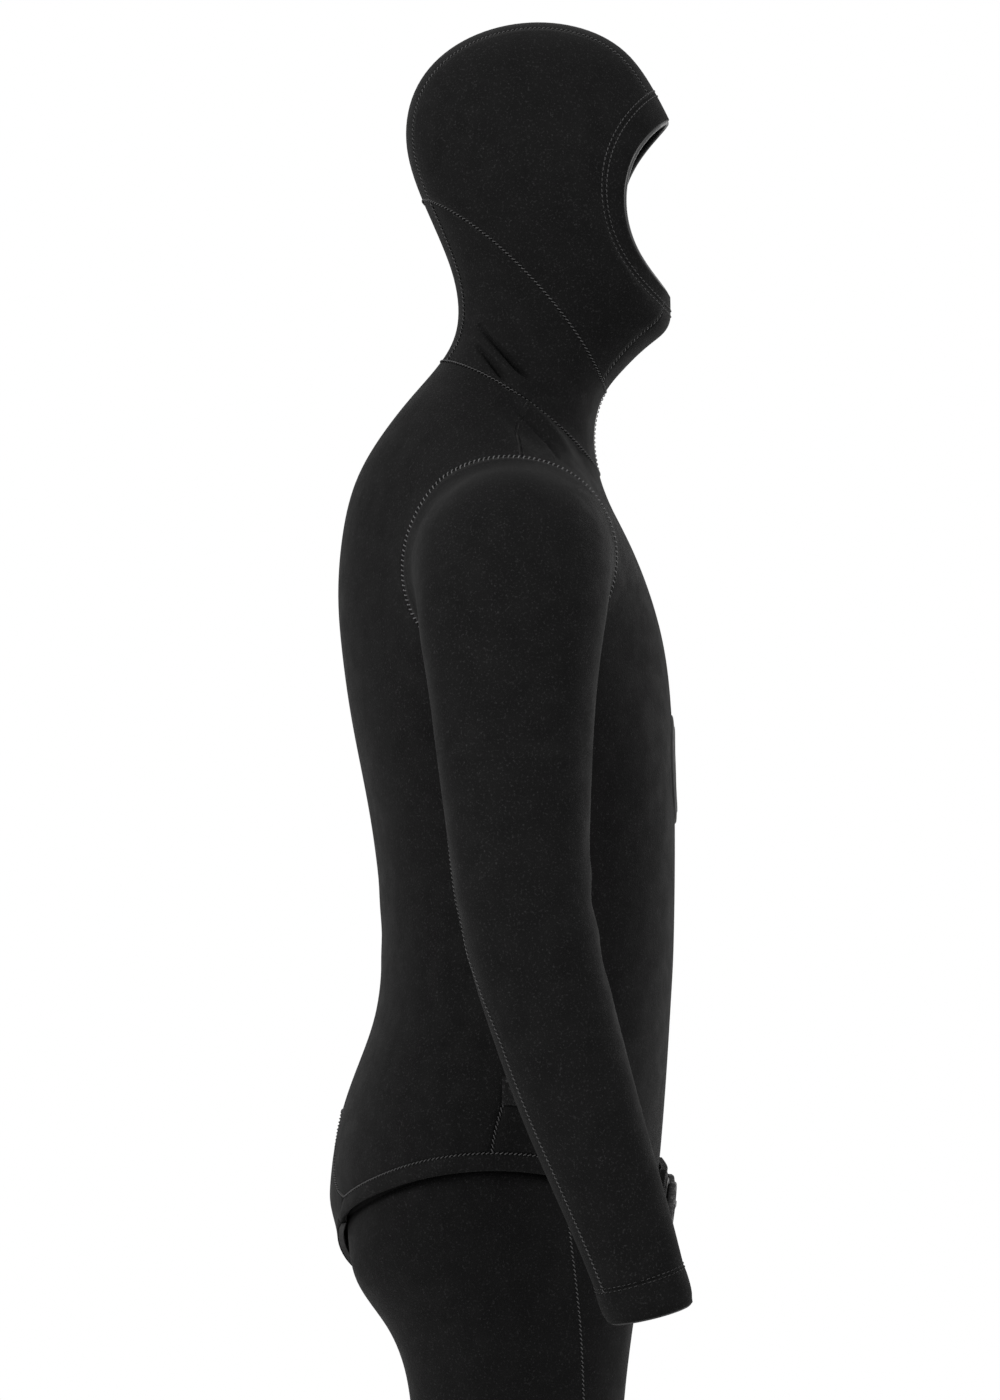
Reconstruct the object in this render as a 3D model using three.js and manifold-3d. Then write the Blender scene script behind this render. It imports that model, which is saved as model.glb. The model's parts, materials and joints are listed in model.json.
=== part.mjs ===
import * as THREE from 'three';
import { mergeVertices } from 'three/addons/utils/BufferGeometryUtils.js';
import Module from 'manifold-3d';

// A two-piece hooded neoprene diving suit: a jacket with a built-in hood and a beavertail, worn over
// a pair of pants. It stands as it does on its wearer, empty and open at face, wrists and ankles.
// Millimetres, +Z up. The front faces -Y and the wearer's right side is at -X. z = 0 is the ankle hems.

// ---- Driving dimensions ----

// Lengths along the body.
const kneeHeight = 450;
const legLength = 766; // ankle hem to crotch
const trunkLength = 632; // crotch to the throat seam
const hoodHeight = 347; // throat seam to the top of the hood
const upperArmLength = 262; // armhole centre to elbow
const forearmDrop = 270; // elbow down to the sleeve's end

// Half-widths across the body.
const hipHalfWidth = 180;
const waistHalfWidth = 147;
const chestHalfWidth = 160;
const neckHalfWidth = 66;
const headHalfWidth = 82;

// Fabric and fits.
const wall = 5; // neoprene thickness
const sealWall = 3; // the thinner skin round the face
const sealGap = 2; // clear space between the two sides of the curled seam round the face
const layerGap = 3; // clear space between the jacket and the pants under it
const seamGap = 0.5; // clear space between two panels at a butted seam
const flapGap = 1.8; // clear space between the jacket front and the beavertail flap on it
const partGap = 0.4; // clear space between two hard parts, or a hard part and fabric

// Bands, hems and openings.
const hemBandWidth = 12;
const legOpeningRise = 58; // how far the leg hems are higher at the side than in front and behind
const wristCuffLength = 22;
const ankleCuffLength = 25;
const waistbandHeight = 30;
const elbowBand = 66; // how far the elbow panel reaches above and below the elbow
const kneeBand = 75; // how far the knee panel reaches above and below the knee
const hipPanelDrop = 116; // how far the hip panel reaches below the crotch
const armholeHalfDepth = 74;
const armholeHalfHeight = 70;
const armholeLean = 10; // how far the armhole's top lies in front of its middle
const crotchStrapHalfWidth = 24;
const flapLowHalfWidth = 44;
const flapTopMargin = 7.5; // the flap's fabric outside the lock rings, at its top edge
const flapTopHeight = 102; // above the crotch

// The two turn-locks on the beavertail.
const lockGap = 7; // clear space between the two locks
const lockHeight = 77; // above the crotch
const knobRadius = 18;
const knobHeight = 6.5;
const knobRidges = 14;
const knobRidgeDepth = 1.1;
const socketRadius = 15;
const lockStandOff = 1; // a lock's clear space over the curve of the belly, on both faces of the fabric
const socketFloor = 1.2;
const socketLid = 1.4;
const stubRadius = 4;
const washerRadius = 11;
const washerThickness = 1;
const ringRadius = 20.5;
const ringThickness = 1.8;
const collarRadius = 6.4;
const stemRadius = 2.9;
const tongueLength = 20;
const tongueWidth = 6;
const tongueThickness = 1.6;
const lockClearance = 0.8; // round the tongue in its slot and hollow
const flapHoleClearance = 1.5; // round a socket where it stands in the flap
const overlap = 0.5; // how deep the joined shapes of a lock reach into each other

// Trim.
const chestPadRadius = 42;
const chestPadThickness = 2;
const tagSize = [1.2, 12, 21];
const tagForward = 8; // how far the tag reaches in front of the side seam

// ---- Places that follow from them ----

const crotchZ = legLength;
const throatZ = crotchZ + trunkLength;
const lockSpacing = 2 * Math.max(ringRadius, knobRadius) + lockGap;
const flapTopHalfWidth = lockSpacing / 2 + ringRadius + flapTopMargin;
const pantsOffset = -(wall + layerGap);
const columns = 16;
const legColumns = 14;
const armhole = { y: -2, z: crotchZ + 0.894 * trunkLength };
const elbowZ = armhole.z - upperArmLength;
const wristZ = elbowZ - forearmDrop;

const between = (a, b, share) => a + (b - a) * share;
const onTrunk = (share) => crotchZ + share * trunkLength;
const onHood = (share) => throatZ + share * hoodHeight;

// ---- Sections ----

// A control loop ends up a little inside its own corners once the skin is smoothed, so each loop is drawn
// this much larger about its centre.
const swell = (count) => 3 / (2 + Math.cos((2 * Math.PI) / count));

// A section of the trunk or hood, given by its front and back points [y, z] on the middle plane and its
// half-width. Its sides are bowed along the body by bow, towards the head if it is positive. The first
// point is the front one, and they go round by the wearer's right side.
function trunkSection({ front, back, halfWidth, bow = 0, squareness }) {
  const middle = [(front[0] + back[0]) / 2, (front[1] + back[1]) / 2];
  const half = [(back[0] - front[0]) / 2, (back[1] - front[1]) / 2];
  const length = Math.hypot(...half);
  const up = [-half[1] / length, half[0] / length];
  const grown = swell(columns);
  const soften = (value) => Math.sign(value) * Math.abs(value) ** (2 / squareness);
  return Array.from({ length: columns }, (_, column) => {
    const angle = (2 * Math.PI * column) / columns;
    const along = -soften(Math.cos(angle)) * grown;
    const lift = bow * Math.sin(angle) ** 2;
    return new THREE.Vector3(
      -halfWidth * soften(Math.sin(angle)) * grown,
      middle[0] + half[0] * along + up[0] * lift,
      middle[1] + half[1] * along + up[1] * lift,
    );
  });
}

// A section of a right arm or leg, given by its outer and inner points [distance from the middle, z].
// The points start at the outer one, or firstTurn steps before it, and go towards the front on an arm
// (turn -1) and towards the back on a leg (turn 1). lean tips the section's front up, in degrees.
function limbSection({ outer, inner, y, halfDepth, lean = 0 }, count, firstTurn, turn) {
  const grown = swell(count);
  const tilt = THREE.MathUtils.degToRad(lean);
  const middle = [(outer[0] + inner[0]) / 2, (outer[1] + inner[1]) / 2];
  return Array.from({ length: count }, (_, index) => {
    const angle = (2 * Math.PI * (index - firstTurn)) / count;
    const across = Math.cos(angle) * grown;
    const back = turn * Math.sin(angle) * grown * halfDepth;
    return new THREE.Vector3(
      -(middle[0] + (outer[0] - middle[0]) * across),
      y + back * Math.cos(tilt),
      middle[1] + (outer[1] - middle[1]) * across - back * Math.sin(tilt),
    );
  });
}

const trunkShape = { squareness: 2.3 };

// From the leg hems up to the seam between body and neck.
const bodySections = {
  hem: { front: [-113, onTrunk(0.114)], back: [136, onTrunk(0.111)], halfWidth: hipHalfWidth, bow: legOpeningRise },
  hemTop: {
    front: [-114, onTrunk(0.114) + hemBandWidth],
    back: [137, onTrunk(0.111) + hemBandWidth],
    halfWidth: hipHalfWidth + 0.5,
    bow: legOpeningRise,
  },
  hip: { front: [-119, onTrunk(0.22)], back: [130, onTrunk(0.228)], halfWidth: hipHalfWidth - 2, bow: 26 },
  overHip: {
    front: [-123, onTrunk(0.315)],
    back: [105, onTrunk(0.32)],
    halfWidth: between(hipHalfWidth, waistHalfWidth, 0.34),
  },
  waistband: {
    front: [-125, onTrunk(0.418) - waistbandHeight],
    back: [98, onTrunk(0.418) - waistbandHeight],
    halfWidth: between(hipHalfWidth, waistHalfWidth, 0.6),
  },
  waistbandTop: {
    front: [-127, onTrunk(0.418)],
    back: [96, onTrunk(0.418)],
    halfWidth: between(hipHalfWidth, waistHalfWidth, 0.82),
  },
  waist: { front: [-128, onTrunk(0.513)], back: [98, onTrunk(0.513)], halfWidth: waistHalfWidth },
  ribs: {
    front: [-128, onTrunk(0.608)],
    back: [107, onTrunk(0.608)],
    halfWidth: between(waistHalfWidth, chestHalfWidth, 0.25),
  },
  lowChest: {
    front: [-126, onTrunk(0.703)],
    back: [120, onTrunk(0.703)],
    halfWidth: between(waistHalfWidth, chestHalfWidth, 0.6),
  },
  armpit: { front: [-122, onTrunk(0.78)], back: [127, onTrunk(0.785)], halfWidth: chestHalfWidth - 2 },
  chest: { front: [-113, onTrunk(0.839)], back: [131, onTrunk(0.853)], halfWidth: chestHalfWidth },
  highChest: { front: [-103, onTrunk(0.884)], back: [128, onTrunk(0.924)], halfWidth: chestHalfWidth },
  collarbone: { front: [-92, onTrunk(0.924)], back: [119, onTrunk(0.995)], halfWidth: chestHalfWidth - 2 },
  shoulder: { front: [-80, onTrunk(0.959)], back: [96, onTrunk(1.054)], halfWidth: chestHalfWidth - 8 },
  slope: {
    front: [-74, onTrunk(0.981)],
    back: [72, onTrunk(1.101)],
    halfWidth: between(neckHalfWidth, chestHalfWidth, 0.49),
    bow: 8,
  },
  neckSeam: {
    front: [-70, throatZ],
    back: [50, onTrunk(1.139)],
    halfWidth: neckHalfWidth + 12,
    bow: 10,
  },
};

// The neck and the hood. The loops tip forward from the neck to the face opening, and fan out
// round the chin.
const hoodSections = {
  lowNeck: {
    front: [-65, onHood(0.063)], back: [36, onHood(0.329)],
    halfWidth: neckHalfWidth + 3, bow: 13,
  },
  neck: { front: [-66, onHood(0.13)], back: [40, onHood(0.452)], halfWidth: neckHalfWidth, bow: 16 },
  hoodSeam: {
    front: [-73, onHood(0.19)], back: [68, onHood(0.617)],
    halfWidth: neckHalfWidth + 5, bow: 18,
  },
  nape: { front: [-88, onHood(0.239)], back: [82, onHood(0.743)], halfWidth: headHalfWidth - 6, bow: 9 },
  backOfHead: {
    front: [-101, onHood(0.277)], back: [73, onHood(0.872)],
    halfWidth: headHalfWidth - 2, bow: -3,
  },
  ears: { front: [-112, onHood(0.303)], back: [41, onHood(0.965)], halfWidth: headHalfWidth, bow: -14 },
  crown: { front: [-119, onHood(0.317)], back: [-6, onHood(1.012)], halfWidth: headHalfWidth, bow: -26 },
  temples: {
    front: [-124, onHood(0.331)], back: [-55, onHood(1.006)],
    halfWidth: headHalfWidth - 2, bow: -38,
  },
  forehead: {
    front: [-127, onHood(0.346)], back: [-96, onHood(0.95)],
    halfWidth: headHalfWidth - 5, bow: -49,
  },
  sealEdge: {
    front: [-128, onHood(0.358)], back: [-119, onHood(0.838)],
    halfWidth: headHalfWidth - 9, bow: -56,
  },
  faceEdge: {
    front: [-127, onHood(0.398)], back: [-126, onHood(0.792)],
    halfWidth: headHalfWidth - 19, bow: -41,
  },
};

// The armhole lies on the side of the trunk as a rounded loop. angle 0 is its top, and it goes round
// by the front.
function armholePoint(angle) {
  const grown = swell(columns);
  const side = chestHalfWidth - 6 - 4 * Math.cos(angle) - 20 * Math.sin(angle) ** 2;
  return new THREE.Vector3(
    -side,
    armhole.y - (armholeHalfDepth * Math.sin(angle) + armholeLean * Math.cos(angle)) * grown,
    armhole.z + armholeHalfHeight * Math.cos(angle) * grown,
  );
}

// A right sleeve, from the armhole's neighbour to the wrist. The shoulder's loops fan out round the armpit.
const armpitZ = armhole.z - armholeHalfHeight;
const side = chestHalfWidth;
const straightSleeve = (x, halfWidth, z, y, halfDepth, lean) => ({
  outer: [x + halfWidth, z],
  inner: [x - halfWidth, z],
  y,
  halfDepth,
  lean,
});
const sleeveSections = [
  { outer: [side + 27, armhole.z + 64], inner: [side + 4, armpitZ - 4], y: -3, halfDepth: 73 },
  { outer: [side + 60, armhole.z + 53], inner: [side + 8, armpitZ - 9], y: -3, halfDepth: 71.5 },
  { outer: [side + 90, armhole.z + 21], inner: [side + 10, armpitZ - 16], y: -3, halfDepth: 69 },
  { outer: [side + 107, armhole.z - 26], inner: [side + 12, armpitZ - 26], y: -2, halfDepth: 65.5 },
  { outer: [side + 117, between(armhole.z, elbowZ, 0.31)],
    inner: [side + 15, between(armhole.z, elbowZ, 0.42)], y: -3, halfDepth: 60 },
  straightSleeve(side + 72, 52.5, between(armhole.z, elbowZ, 0.53), -4, 56, 0),
  straightSleeve(side + 80, 50.5, elbowZ + elbowBand, -7, 51, 2),
  straightSleeve(side + 87, 49, elbowZ + elbowBand / 2, -9, 48.5, 5),
  straightSleeve(side + 93, 47.5, elbowZ, -14, 47.5, 10),
  straightSleeve(side + 98, 45.5, elbowZ - elbowBand / 2, -21, 46, 15),
  straightSleeve(side + 103, 43.5, elbowZ - elbowBand, -31, 44.5, 17),
  straightSleeve(side + 110, 40.5, between(elbowZ, wristZ, 0.43), -46, 42.5, 18),
  straightSleeve(side + 117, 35.5, between(elbowZ, wristZ, 0.63), -65, 38, 18),
  straightSleeve(side + 124, 31.5, between(elbowZ, wristZ, 0.8), -82, 34.5, 18),
  straightSleeve(side + 128, 29, wristZ + wristCuffLength, -92, 32, 16),
  straightSleeve(side + 130, 28.5, wristZ, -99, 31.5, 14),
];
const capSections = 4;
const elbowSections = [6, 10];
const wristSection = 14;

// A right leg, from the leg opening's neighbour to the ankle. These are the jacket's surface carried on down,
// and the pants lie inside it by the jacket's wall and the gap between the layers.
const straightLeg = (outer, inner, z, y, halfDepth) => ({
  outer: [outer, z],
  inner: [inner, z],
  y,
  halfDepth,
});
const hips = hipHalfWidth;
const legSections = [
  { outer: [hips + 3, crotchZ + 72], inner: [19, crotchZ - 16], y: 10, halfDepth: 116 },
  { outer: [hips + 3, crotchZ + 29], inner: [12, crotchZ - 44], y: -3, halfDepth: 98 },
  { outer: [hips + 1, crotchZ - 16], inner: [9, crotchZ - 76], y: -7, halfDepth: 89 },
  { outer: [hips - 1, crotchZ - 66], inner: [9, crotchZ - 101], y: -7, halfDepth: 86 },
  straightLeg(hips - 4, 12, crotchZ - hipPanelDrop, -6, 84),
  straightLeg(hips - 9, 20, between(crotchZ - hipPanelDrop, kneeHeight + kneeBand, 0.5), -5, 80),
  straightLeg(hips - 16, 32, kneeHeight + kneeBand, -4, 75),
  straightLeg(hips - 22, 37, kneeHeight + kneeBand / 2, -6, 70),
  straightLeg(hips - 26, 38, kneeHeight, -6, 68),
  straightLeg(hips - 28, 40, kneeHeight - kneeBand / 2, -1, 66),
  straightLeg(hips - 27, 38, kneeHeight - kneeBand, 5, 67),
  straightLeg(hips - 24, 36, 0.71 * kneeHeight, 10, 70),
  straightLeg(hips - 28, 40, 0.55 * kneeHeight, 10, 64),
  straightLeg(hips - 34, 50, 0.38 * kneeHeight, 6, 54),
  straightLeg(hips - 38, 52, 0.22 * kneeHeight, 1, 48),
  straightLeg(hips - 36, 52, ankleCuffLength, -1, 50),
  straightLeg(hips - 36, 52, 0, -1, 50),
];
const hipPanelEnd = 5;
const thighEnd = 7;
const kneeEnd = 11;
const shinEnd = 16;

// The strap under the crotch, from the belly to the seat: [half-width, y of its middle, y of its edges,
// height over the crotch].
const strapStations = [
  [46, -111, -106, 47],
  [38, -102, -99, 24],
  [30, -76, -75, 6],
  [crotchStrapHalfWidth, -18, -18, -1],
  [crotchStrapHalfWidth + 2, 48, 48, 1],
  [crotchStrapHalfWidth + 11, 97, 98, 14],
  [crotchStrapHalfWidth + 24, 127, 127, 43],
];
const foldStation = 2; // the beavertail panel ends here, and the fold begins
const flapStation = 1; // the jacket front ends here, and the flap begins

// ---- The control cage of the suit's surface ----

const bodyPoints = [];
const faces = []; // { corners, skin, under }: the jacket panel and the pants panel that it belongs to

const addPoint = (point) => bodyPoints.push(point) - 1;
const addLoop = (loop) => loop.map(addPoint);
const addFace = (corners, skin, under) => faces.push({ corners, skin, under });
const mirrored = (loop) => loop.map((point) => new THREE.Vector3(-point.x, point.y, point.z));

// The armhole's points as places in the trunk's grid: [section, columns away from the side].
const armholeRows = ['shoulder', 'collarbone', 'highChest', 'chest', 'armpit'];
function armholePlaces(sideColumn, towardsFront) {
  const place = (row, steps) => [row, sideColumn + steps * towardsFront];
  const front = armholeRows.slice(1, 4).map((row) => place(row, 2));
  const back = armholeRows.slice(1, 4).reverse().map((row) => place(row, -2));
  const top = [0, 1, 2].map((steps) => place('shoulder', steps));
  const bottom = [2, 1, 0, -1, -2].map((steps) => place('armpit', steps));
  return [...top, ...front, ...bottom, ...back, place('shoulder', -2), place('shoulder', -1)];
}

const rows = { ...bodySections, ...hoodSections };
const rowNames = Object.keys(rows);
const trunkLoops = {};
for (const name of rowNames) trunkLoops[name] = trunkSection({ ...trunkShape, ...rows[name] });
const rightArmhole = armholePlaces(4, -1);
const leftArmhole = armholePlaces(12, 1);
rightArmhole.forEach(([row, column], step) => {
  trunkLoops[row][column] = armholePoint((2 * Math.PI * step) / columns);
});
leftArmhole.forEach(([row, column], step) => {
  const point = armholePoint((2 * Math.PI * step) / columns);
  trunkLoops[row][column] = new THREE.Vector3(-point.x, point.y, point.z);
});
const trunk = {};
for (const name of rowNames) trunk[name] = addLoop(trunkLoops[name]);

const isRight = (column) => column < columns / 2;
const sideOf = (column) => (isRight(column) ? 'right' : 'left');
const inMiddle = (column, middle) => column === middle || column === (middle + columns - 1) % columns;
const frontOrBack = (column) => (column < 4 || column >= 12 ? 'jacket_front_panel' : 'jacket_back_panel');
const inArmhole = (column) => (column >= 2 && column < 6) || (column >= 10 && column < 14);

// Which jacket or hood panel the face above a section belongs to.
function skinOf(row, column) {
  const index = rowNames.indexOf(row);
  const before = (name) => index < rowNames.indexOf(name);
  if (before('hip') && inMiddle(column, 8)) return 'beavertail_panel';
  if (before('hemTop') && !inMiddle(column, 0)) return `leg_hem_band_${sideOf(column)}`;
  if (before('neckSeam')) return frontOrBack(column);
  if (before('hoodSeam')) return inMiddle(column, 8) ? 'nape_strip' : `neck_panel_${sideOf(column)}`;
  if (!before('sealEdge')) return 'hood_face_seal';
  if (inMiddle(column, 8)) return 'hood_crown_strip';
  return inMiddle(column, 0) ? 'hood_chin_panel' : `hood_side_${sideOf(column)}`;
}

// Which pants panel lies under it.
function underOf(row, column) {
  const index = rowNames.indexOf(row);
  if (index >= rowNames.indexOf('waistbandTop')) return null;
  if (index >= rowNames.indexOf('waistband')) return 'pants_waistband';
  return column < 4 || column >= 12 ? 'pants_front_panel' : 'pants_seat_panel';
}

for (let index = 0; index + 1 < rowNames.length; index += 1) {
  const [row, next] = [rowNames[index], rowNames[index + 1]];
  for (let column = 0; column < columns; column += 1) {
    if (armholeRows.slice(1).includes(row) && inArmhole(column)) continue;
    const after = (column + 1) % columns;
    const corners = [trunk[row][after], trunk[row][column], trunk[next][column], trunk[next][after]];
    addFace(corners, skinOf(row, column), underOf(row, column));
  }
}

// The strap: each station has its right edge, its middle and its left edge.
const strap = strapStations.map(([halfWidth, middleY, edgeY, height]) =>
  [-halfWidth, 0, halfWidth].map((x) =>
    addPoint(new THREE.Vector3(x, x ? edgeY : middleY, crotchZ + height))));
const bellyEnd = [trunk.hem[1], trunk.hem[0], trunk.hem[15]];
const seatEnd = [trunk.hem[7], trunk.hem[8], trunk.hem[9]];
const strapRows = [bellyEnd, ...strap, seatEnd];
for (let index = 0; index + 1 < strapRows.length; index += 1) {
  const [row, next] = [strapRows[index], strapRows[index + 1]];
  const isFold = index === foldStation;
  const skin = index <= flapStation ? 'jacket_front_panel' : isFold ? null : 'beavertail_panel';
  const under = index < strapRows.length / 2 - 1 ? 'pants_front_panel' : 'pants_seat_panel';
  for (const half of [0, 1]) {
    addFace([row[half], next[half], next[half + 1], row[half + 1]], skin, under);
  }
}

// A tube of loops, with a panel name for each stretch. Its faces turn over where turned is set.
function addTube(loops, turned, skinName, underName) {
  for (let index = 0; index + 1 < loops.length; index += 1) {
    const [loop, next] = [loops[index], loops[index + 1]];
    loop.forEach((corner, step) => {
      const after = (step + 1) % loop.length;
      const corners = [corner, loop[after], next[after], next[step]];
      addFace(turned ? corners.reverse() : corners, skinName(index), underName(index));
    });
  }
}

function sleevePanel(index) {
  if (index < capSections) return 'shoulder_cap';
  if (index < elbowSections[0] + 1) return 'upper_sleeve';
  if (index < elbowSections[1] + 1) return 'elbow_panel';
  return index < wristSection + 1 ? 'forearm_sleeve' : 'wrist_cuff';
}

function legPanel(index) {
  if (index < hipPanelEnd) return 'hip_panel';
  if (index < thighEnd) return 'thigh_panel';
  if (index < kneeEnd) return 'knee_panel';
  return index < shinEnd ? 'shin_panel' : 'ankle_cuff';
}

const sleeveLoops = sleeveSections.map((section) => limbSection(section, columns, 0, -1));
const legLoops = legSections.map((section) => limbSection(section, legColumns, 3, 1));
const ankleLoops = [];
for (const hand of ['right', 'left']) {
  const right = hand === 'right';
  const own = (loop) => addLoop(right ? loop : mirrored(loop));
  const places = right ? rightArmhole : leftArmhole;
  const armholeLoop = places.map(([row, column]) => trunk[row][column]);
  const sleeveName = (index) => `${sleevePanel(index)}_${hand}`;
  addTube([armholeLoop, ...sleeveLoops.map(own)], right, sleeveName, () => null);
  const hemColumns = [1, 2, 3, 4, 5, 6, 7].map((column) => (right ? column : columns - column));
  const edge = right ? 0 : 2;
  const hemLoop = [
    ...hemColumns.map((column) => trunk.hem[column]),
    ...strap.map((station) => station[edge]).reverse(),
  ];
  const ownLegs = legLoops.map(own);
  ankleLoops.push(...ownLegs.at(-1));
  addTube([hemLoop, ...ownLegs], !right, () => null, (index) => `${legPanel(index)}_${hand}`);
}

// ---- The smooth surface that the cage stands for ----

const edgeKey = (a, b) => (a < b ? `${a} ${b}` : `${b} ${a}`);

// Each cage point's place on the smooth surface (the Catmull-Clark limit), with rims treated as curves.
function limitPoints() {
  const sums = bodyPoints.map(() => ({ edges: new Set(), across: new THREE.Vector3(), count: 0 }));
  const uses = new Map();
  for (const { corners } of faces) {
    corners.forEach((corner, step) => {
      const next = corners[(step + 1) % 4];
      sums[corner].edges.add(next);
      sums[next].edges.add(corner);
      sums[corner].across.add(bodyPoints[corners[(step + 2) % 4]]);
      sums[corner].count += 1;
      uses.set(edgeKey(corner, next), (uses.get(edgeKey(corner, next)) ?? 0) + 1);
    });
  }
  return bodyPoints.map((point, index) => {
    const { edges, across, count } = sums[index];
    const rim = [...edges].filter((other) => uses.get(edgeKey(index, other)) === 1);
    const limit = new THREE.Vector3();
    if (rim.length) {
      limit.addScaledVector(point, 4);
      for (const other of rim) limit.add(bodyPoints[other]);
      return limit.divideScalar(6);
    }
    limit.addScaledVector(point, count * count).add(across);
    for (const other of edges) limit.addScaledVector(bodyPoints[other], 4);
    return limit.divideScalar(count * (count + 5));
  });
}

const surface = limitPoints();

// Each face is split into triangles along its shorter diagonal, which runs from its first corner.
for (const face of faces) {
  const [a, b, c, d] = face.corners;
  const isShort = surface[b].distanceTo(surface[d]) < surface[a].distanceTo(surface[c]);
  if (isShort) face.corners = [b, c, d, a];
}

function vertexNormals() {
  const normals = surface.map(() => new THREE.Vector3());
  for (const { corners } of faces) {
    const [a, b, c, d] = corners.map((corner) => surface[corner]);
    const normal = c.clone().sub(a).cross(d.clone().sub(b));
    for (const corner of corners) normals[corner].add(normal);
  }
  for (const index of ankleLoops) normals[index].z = 0;
  return normals.map((normal) => normal.normalize());
}

const normals = vertexNormals();

// ---- Panels: a patch of the surface given the thickness of the fabric ----

function geometryOf(points, triangles) {
  const geometry = new THREE.BufferGeometry();
  const coordinates = new Float32Array(points.flatMap((point) => point.toArray()));
  geometry.setAttribute('position', new THREE.BufferAttribute(coordinates, 3));
  geometry.setIndex(triangles);
  return geometry;
}

// Closes a sheet of quads and its copy at another depth with a rim. outer and inner list the two copies'
// points, and quads index both. The quads face out. The rim is split along its shorter diagonals, so
// that two panels agree on the twisted wall between them.
function slab(outer, inner, quads) {
  const count = outer.length;
  const triangles = [];
  const rim = new Map();
  for (const [a, b, c, d] of quads) {
    triangles.push(a, b, c, a, c, d);
    triangles.push(count + a, count + c, count + b, count + a, count + d, count + c);
    for (const [from, to] of [[a, b], [b, c], [c, d], [d, a]]) {
      if (rim.has(edgeKey(from, to))) rim.delete(edgeKey(from, to));
      else rim.set(edgeKey(from, to), [from, to]);
    }
  }
  for (const [from, to] of rim.values()) {
    const rising = outer[from].distanceTo(inner[to]);
    const falling = outer[to].distanceTo(inner[from]);
    if (falling < rising) triangles.push(from, count + from, to, to, count + from, count + to);
    else triangles.push(from, count + from, count + to, from, count + to, to);
  }
  return geometryOf([...outer, ...inner], triangles);
}

function panelGeometry(patch, outerOffset, thickness, gap) {
  const used = [...new Set(patch.flatMap(({ corners }) => corners))];
  const local = new Map(used.map((index, place) => [index, place]));
  const uses = new Map();
  const middles = new Map(used.map((index) => [index, []]));
  for (const { corners } of patch) {
    const middle = new THREE.Vector3();
    for (const corner of corners) middle.addScaledVector(surface[corner], 0.25);
    corners.forEach((corner, step) => {
      const key = edgeKey(corner, corners[(step + 1) % 4]);
      uses.set(key, [...(uses.get(key) ?? []), corner, corners[(step + 1) % 4]]);
      middles.get(corner).push(middle);
    });
  }
  const onRim = new Set([...uses.values()].filter((ends) => ends.length === 2).flat());
  const pulled = used.map((index) => {
    const point = surface[index].clone();
    if (!onRim.has(index)) return point;
    const inward = new THREE.Vector3();
    for (const middle of middles.get(index)) inward.add(middle.clone().sub(point).normalize());
    if (ankleLoops.includes(index)) inward.set(0, 0, 0);
    inward.addScaledVector(normals[index], -inward.dot(normals[index]));
    return point.addScaledVector(inward.normalize(), gap * 0.75);
  });
  const shifted = (offset) => pulled.map((point, place) =>
    point.clone().addScaledVector(normals[used[place]], offset));
  const quads = patch.map(({ corners }) => corners.map((corner) => local.get(corner)));
  return slab(shifted(outerOffset), shifted(outerOffset - thickness), quads);
}

// ---- Materials ----

const finish = (color, roughness = 0.85, metalness = 0) => () =>
  new THREE.MeshStandardMaterial({ color, roughness, metalness });
const jersey = finish(0x17181a, 0.85);
const pantsJersey = finish(0x141516, 0.85);
const smoothSkin = finish(0x1c1d1f, 0.45);
const moulded = finish(0x0e0f10, 0.4);
const steel = finish(0x8c9094, 0.35, 1);
const rubberPrint = finish(0x2a2c2e, 0.6);
const ribbon = finish(0x101112, 0.7);

const suit = new THREE.Group();

function addPart(name, geometry, material) {
  const mesh = new THREE.Mesh(geometry, material());
  mesh.name = name;
  suit.add(mesh);
  return mesh;
}

const panelNames = (layer) => [...new Set(faces.map((face) => face[layer]).filter(Boolean))];
function panelOf(layer, name, offset) {
  const patch = faces.filter((face) => face[layer] === name);
  const isSeal = name === 'hood_face_seal';
  return panelGeometry(patch, offset, isSeal ? sealWall : wall, isSeal ? sealGap : seamGap);
}

// ---- Solids cut or joined from several shapes ----

const wasm = await Module();
wasm.setup();

function toSolid(geometry) {
  const bare = geometry.clone();
  bare.deleteAttribute('normal');
  bare.deleteAttribute('uv');
  const merged = mergeVertices(bare, 1e-4);
  return new wasm.Manifold(new wasm.Mesh({
    numProp: 3,
    vertProperties: new Float32Array(merged.attributes.position.array),
    triVerts: new Uint32Array(merged.index.array),
  }));
}

function fromSolid(solid) {
  const { vertProperties, triVerts } = solid.getMesh();
  const geometry = new THREE.BufferGeometry();
  geometry.setAttribute('position', new THREE.BufferAttribute(new Float32Array(vertProperties), 3));
  geometry.setIndex([...triVerts]);
  return geometry;
}

// Shapes on a lock's axis stand on a frame whose +Y points away from the belly and whose X is level.
function disc(radius, low, high, place, sides = 24) {
  const geometry = new THREE.CylinderGeometry(radius, radius, high - low, sides);
  return toSolid(geometry.translate(0, (low + high) / 2, 0).applyMatrix4(place));
}

function block(length, width, low, high, place) {
  const geometry = new THREE.BoxGeometry(length, high - low, width);
  return toSolid(geometry.translate(0, (low + high) / 2, 0).applyMatrix4(place));
}

// ---- The beavertail's front end ----

// A place on the suit's surface, and the way that the surface faces there.
const seatAt = (index) => ({ point: surface[index], out: normals[index] });
const seatBetween = (a, b, share) => ({
  point: a.point.clone().lerp(b.point, share),
  out: a.out.clone().lerp(b.out, share).normalize(),
});

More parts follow.
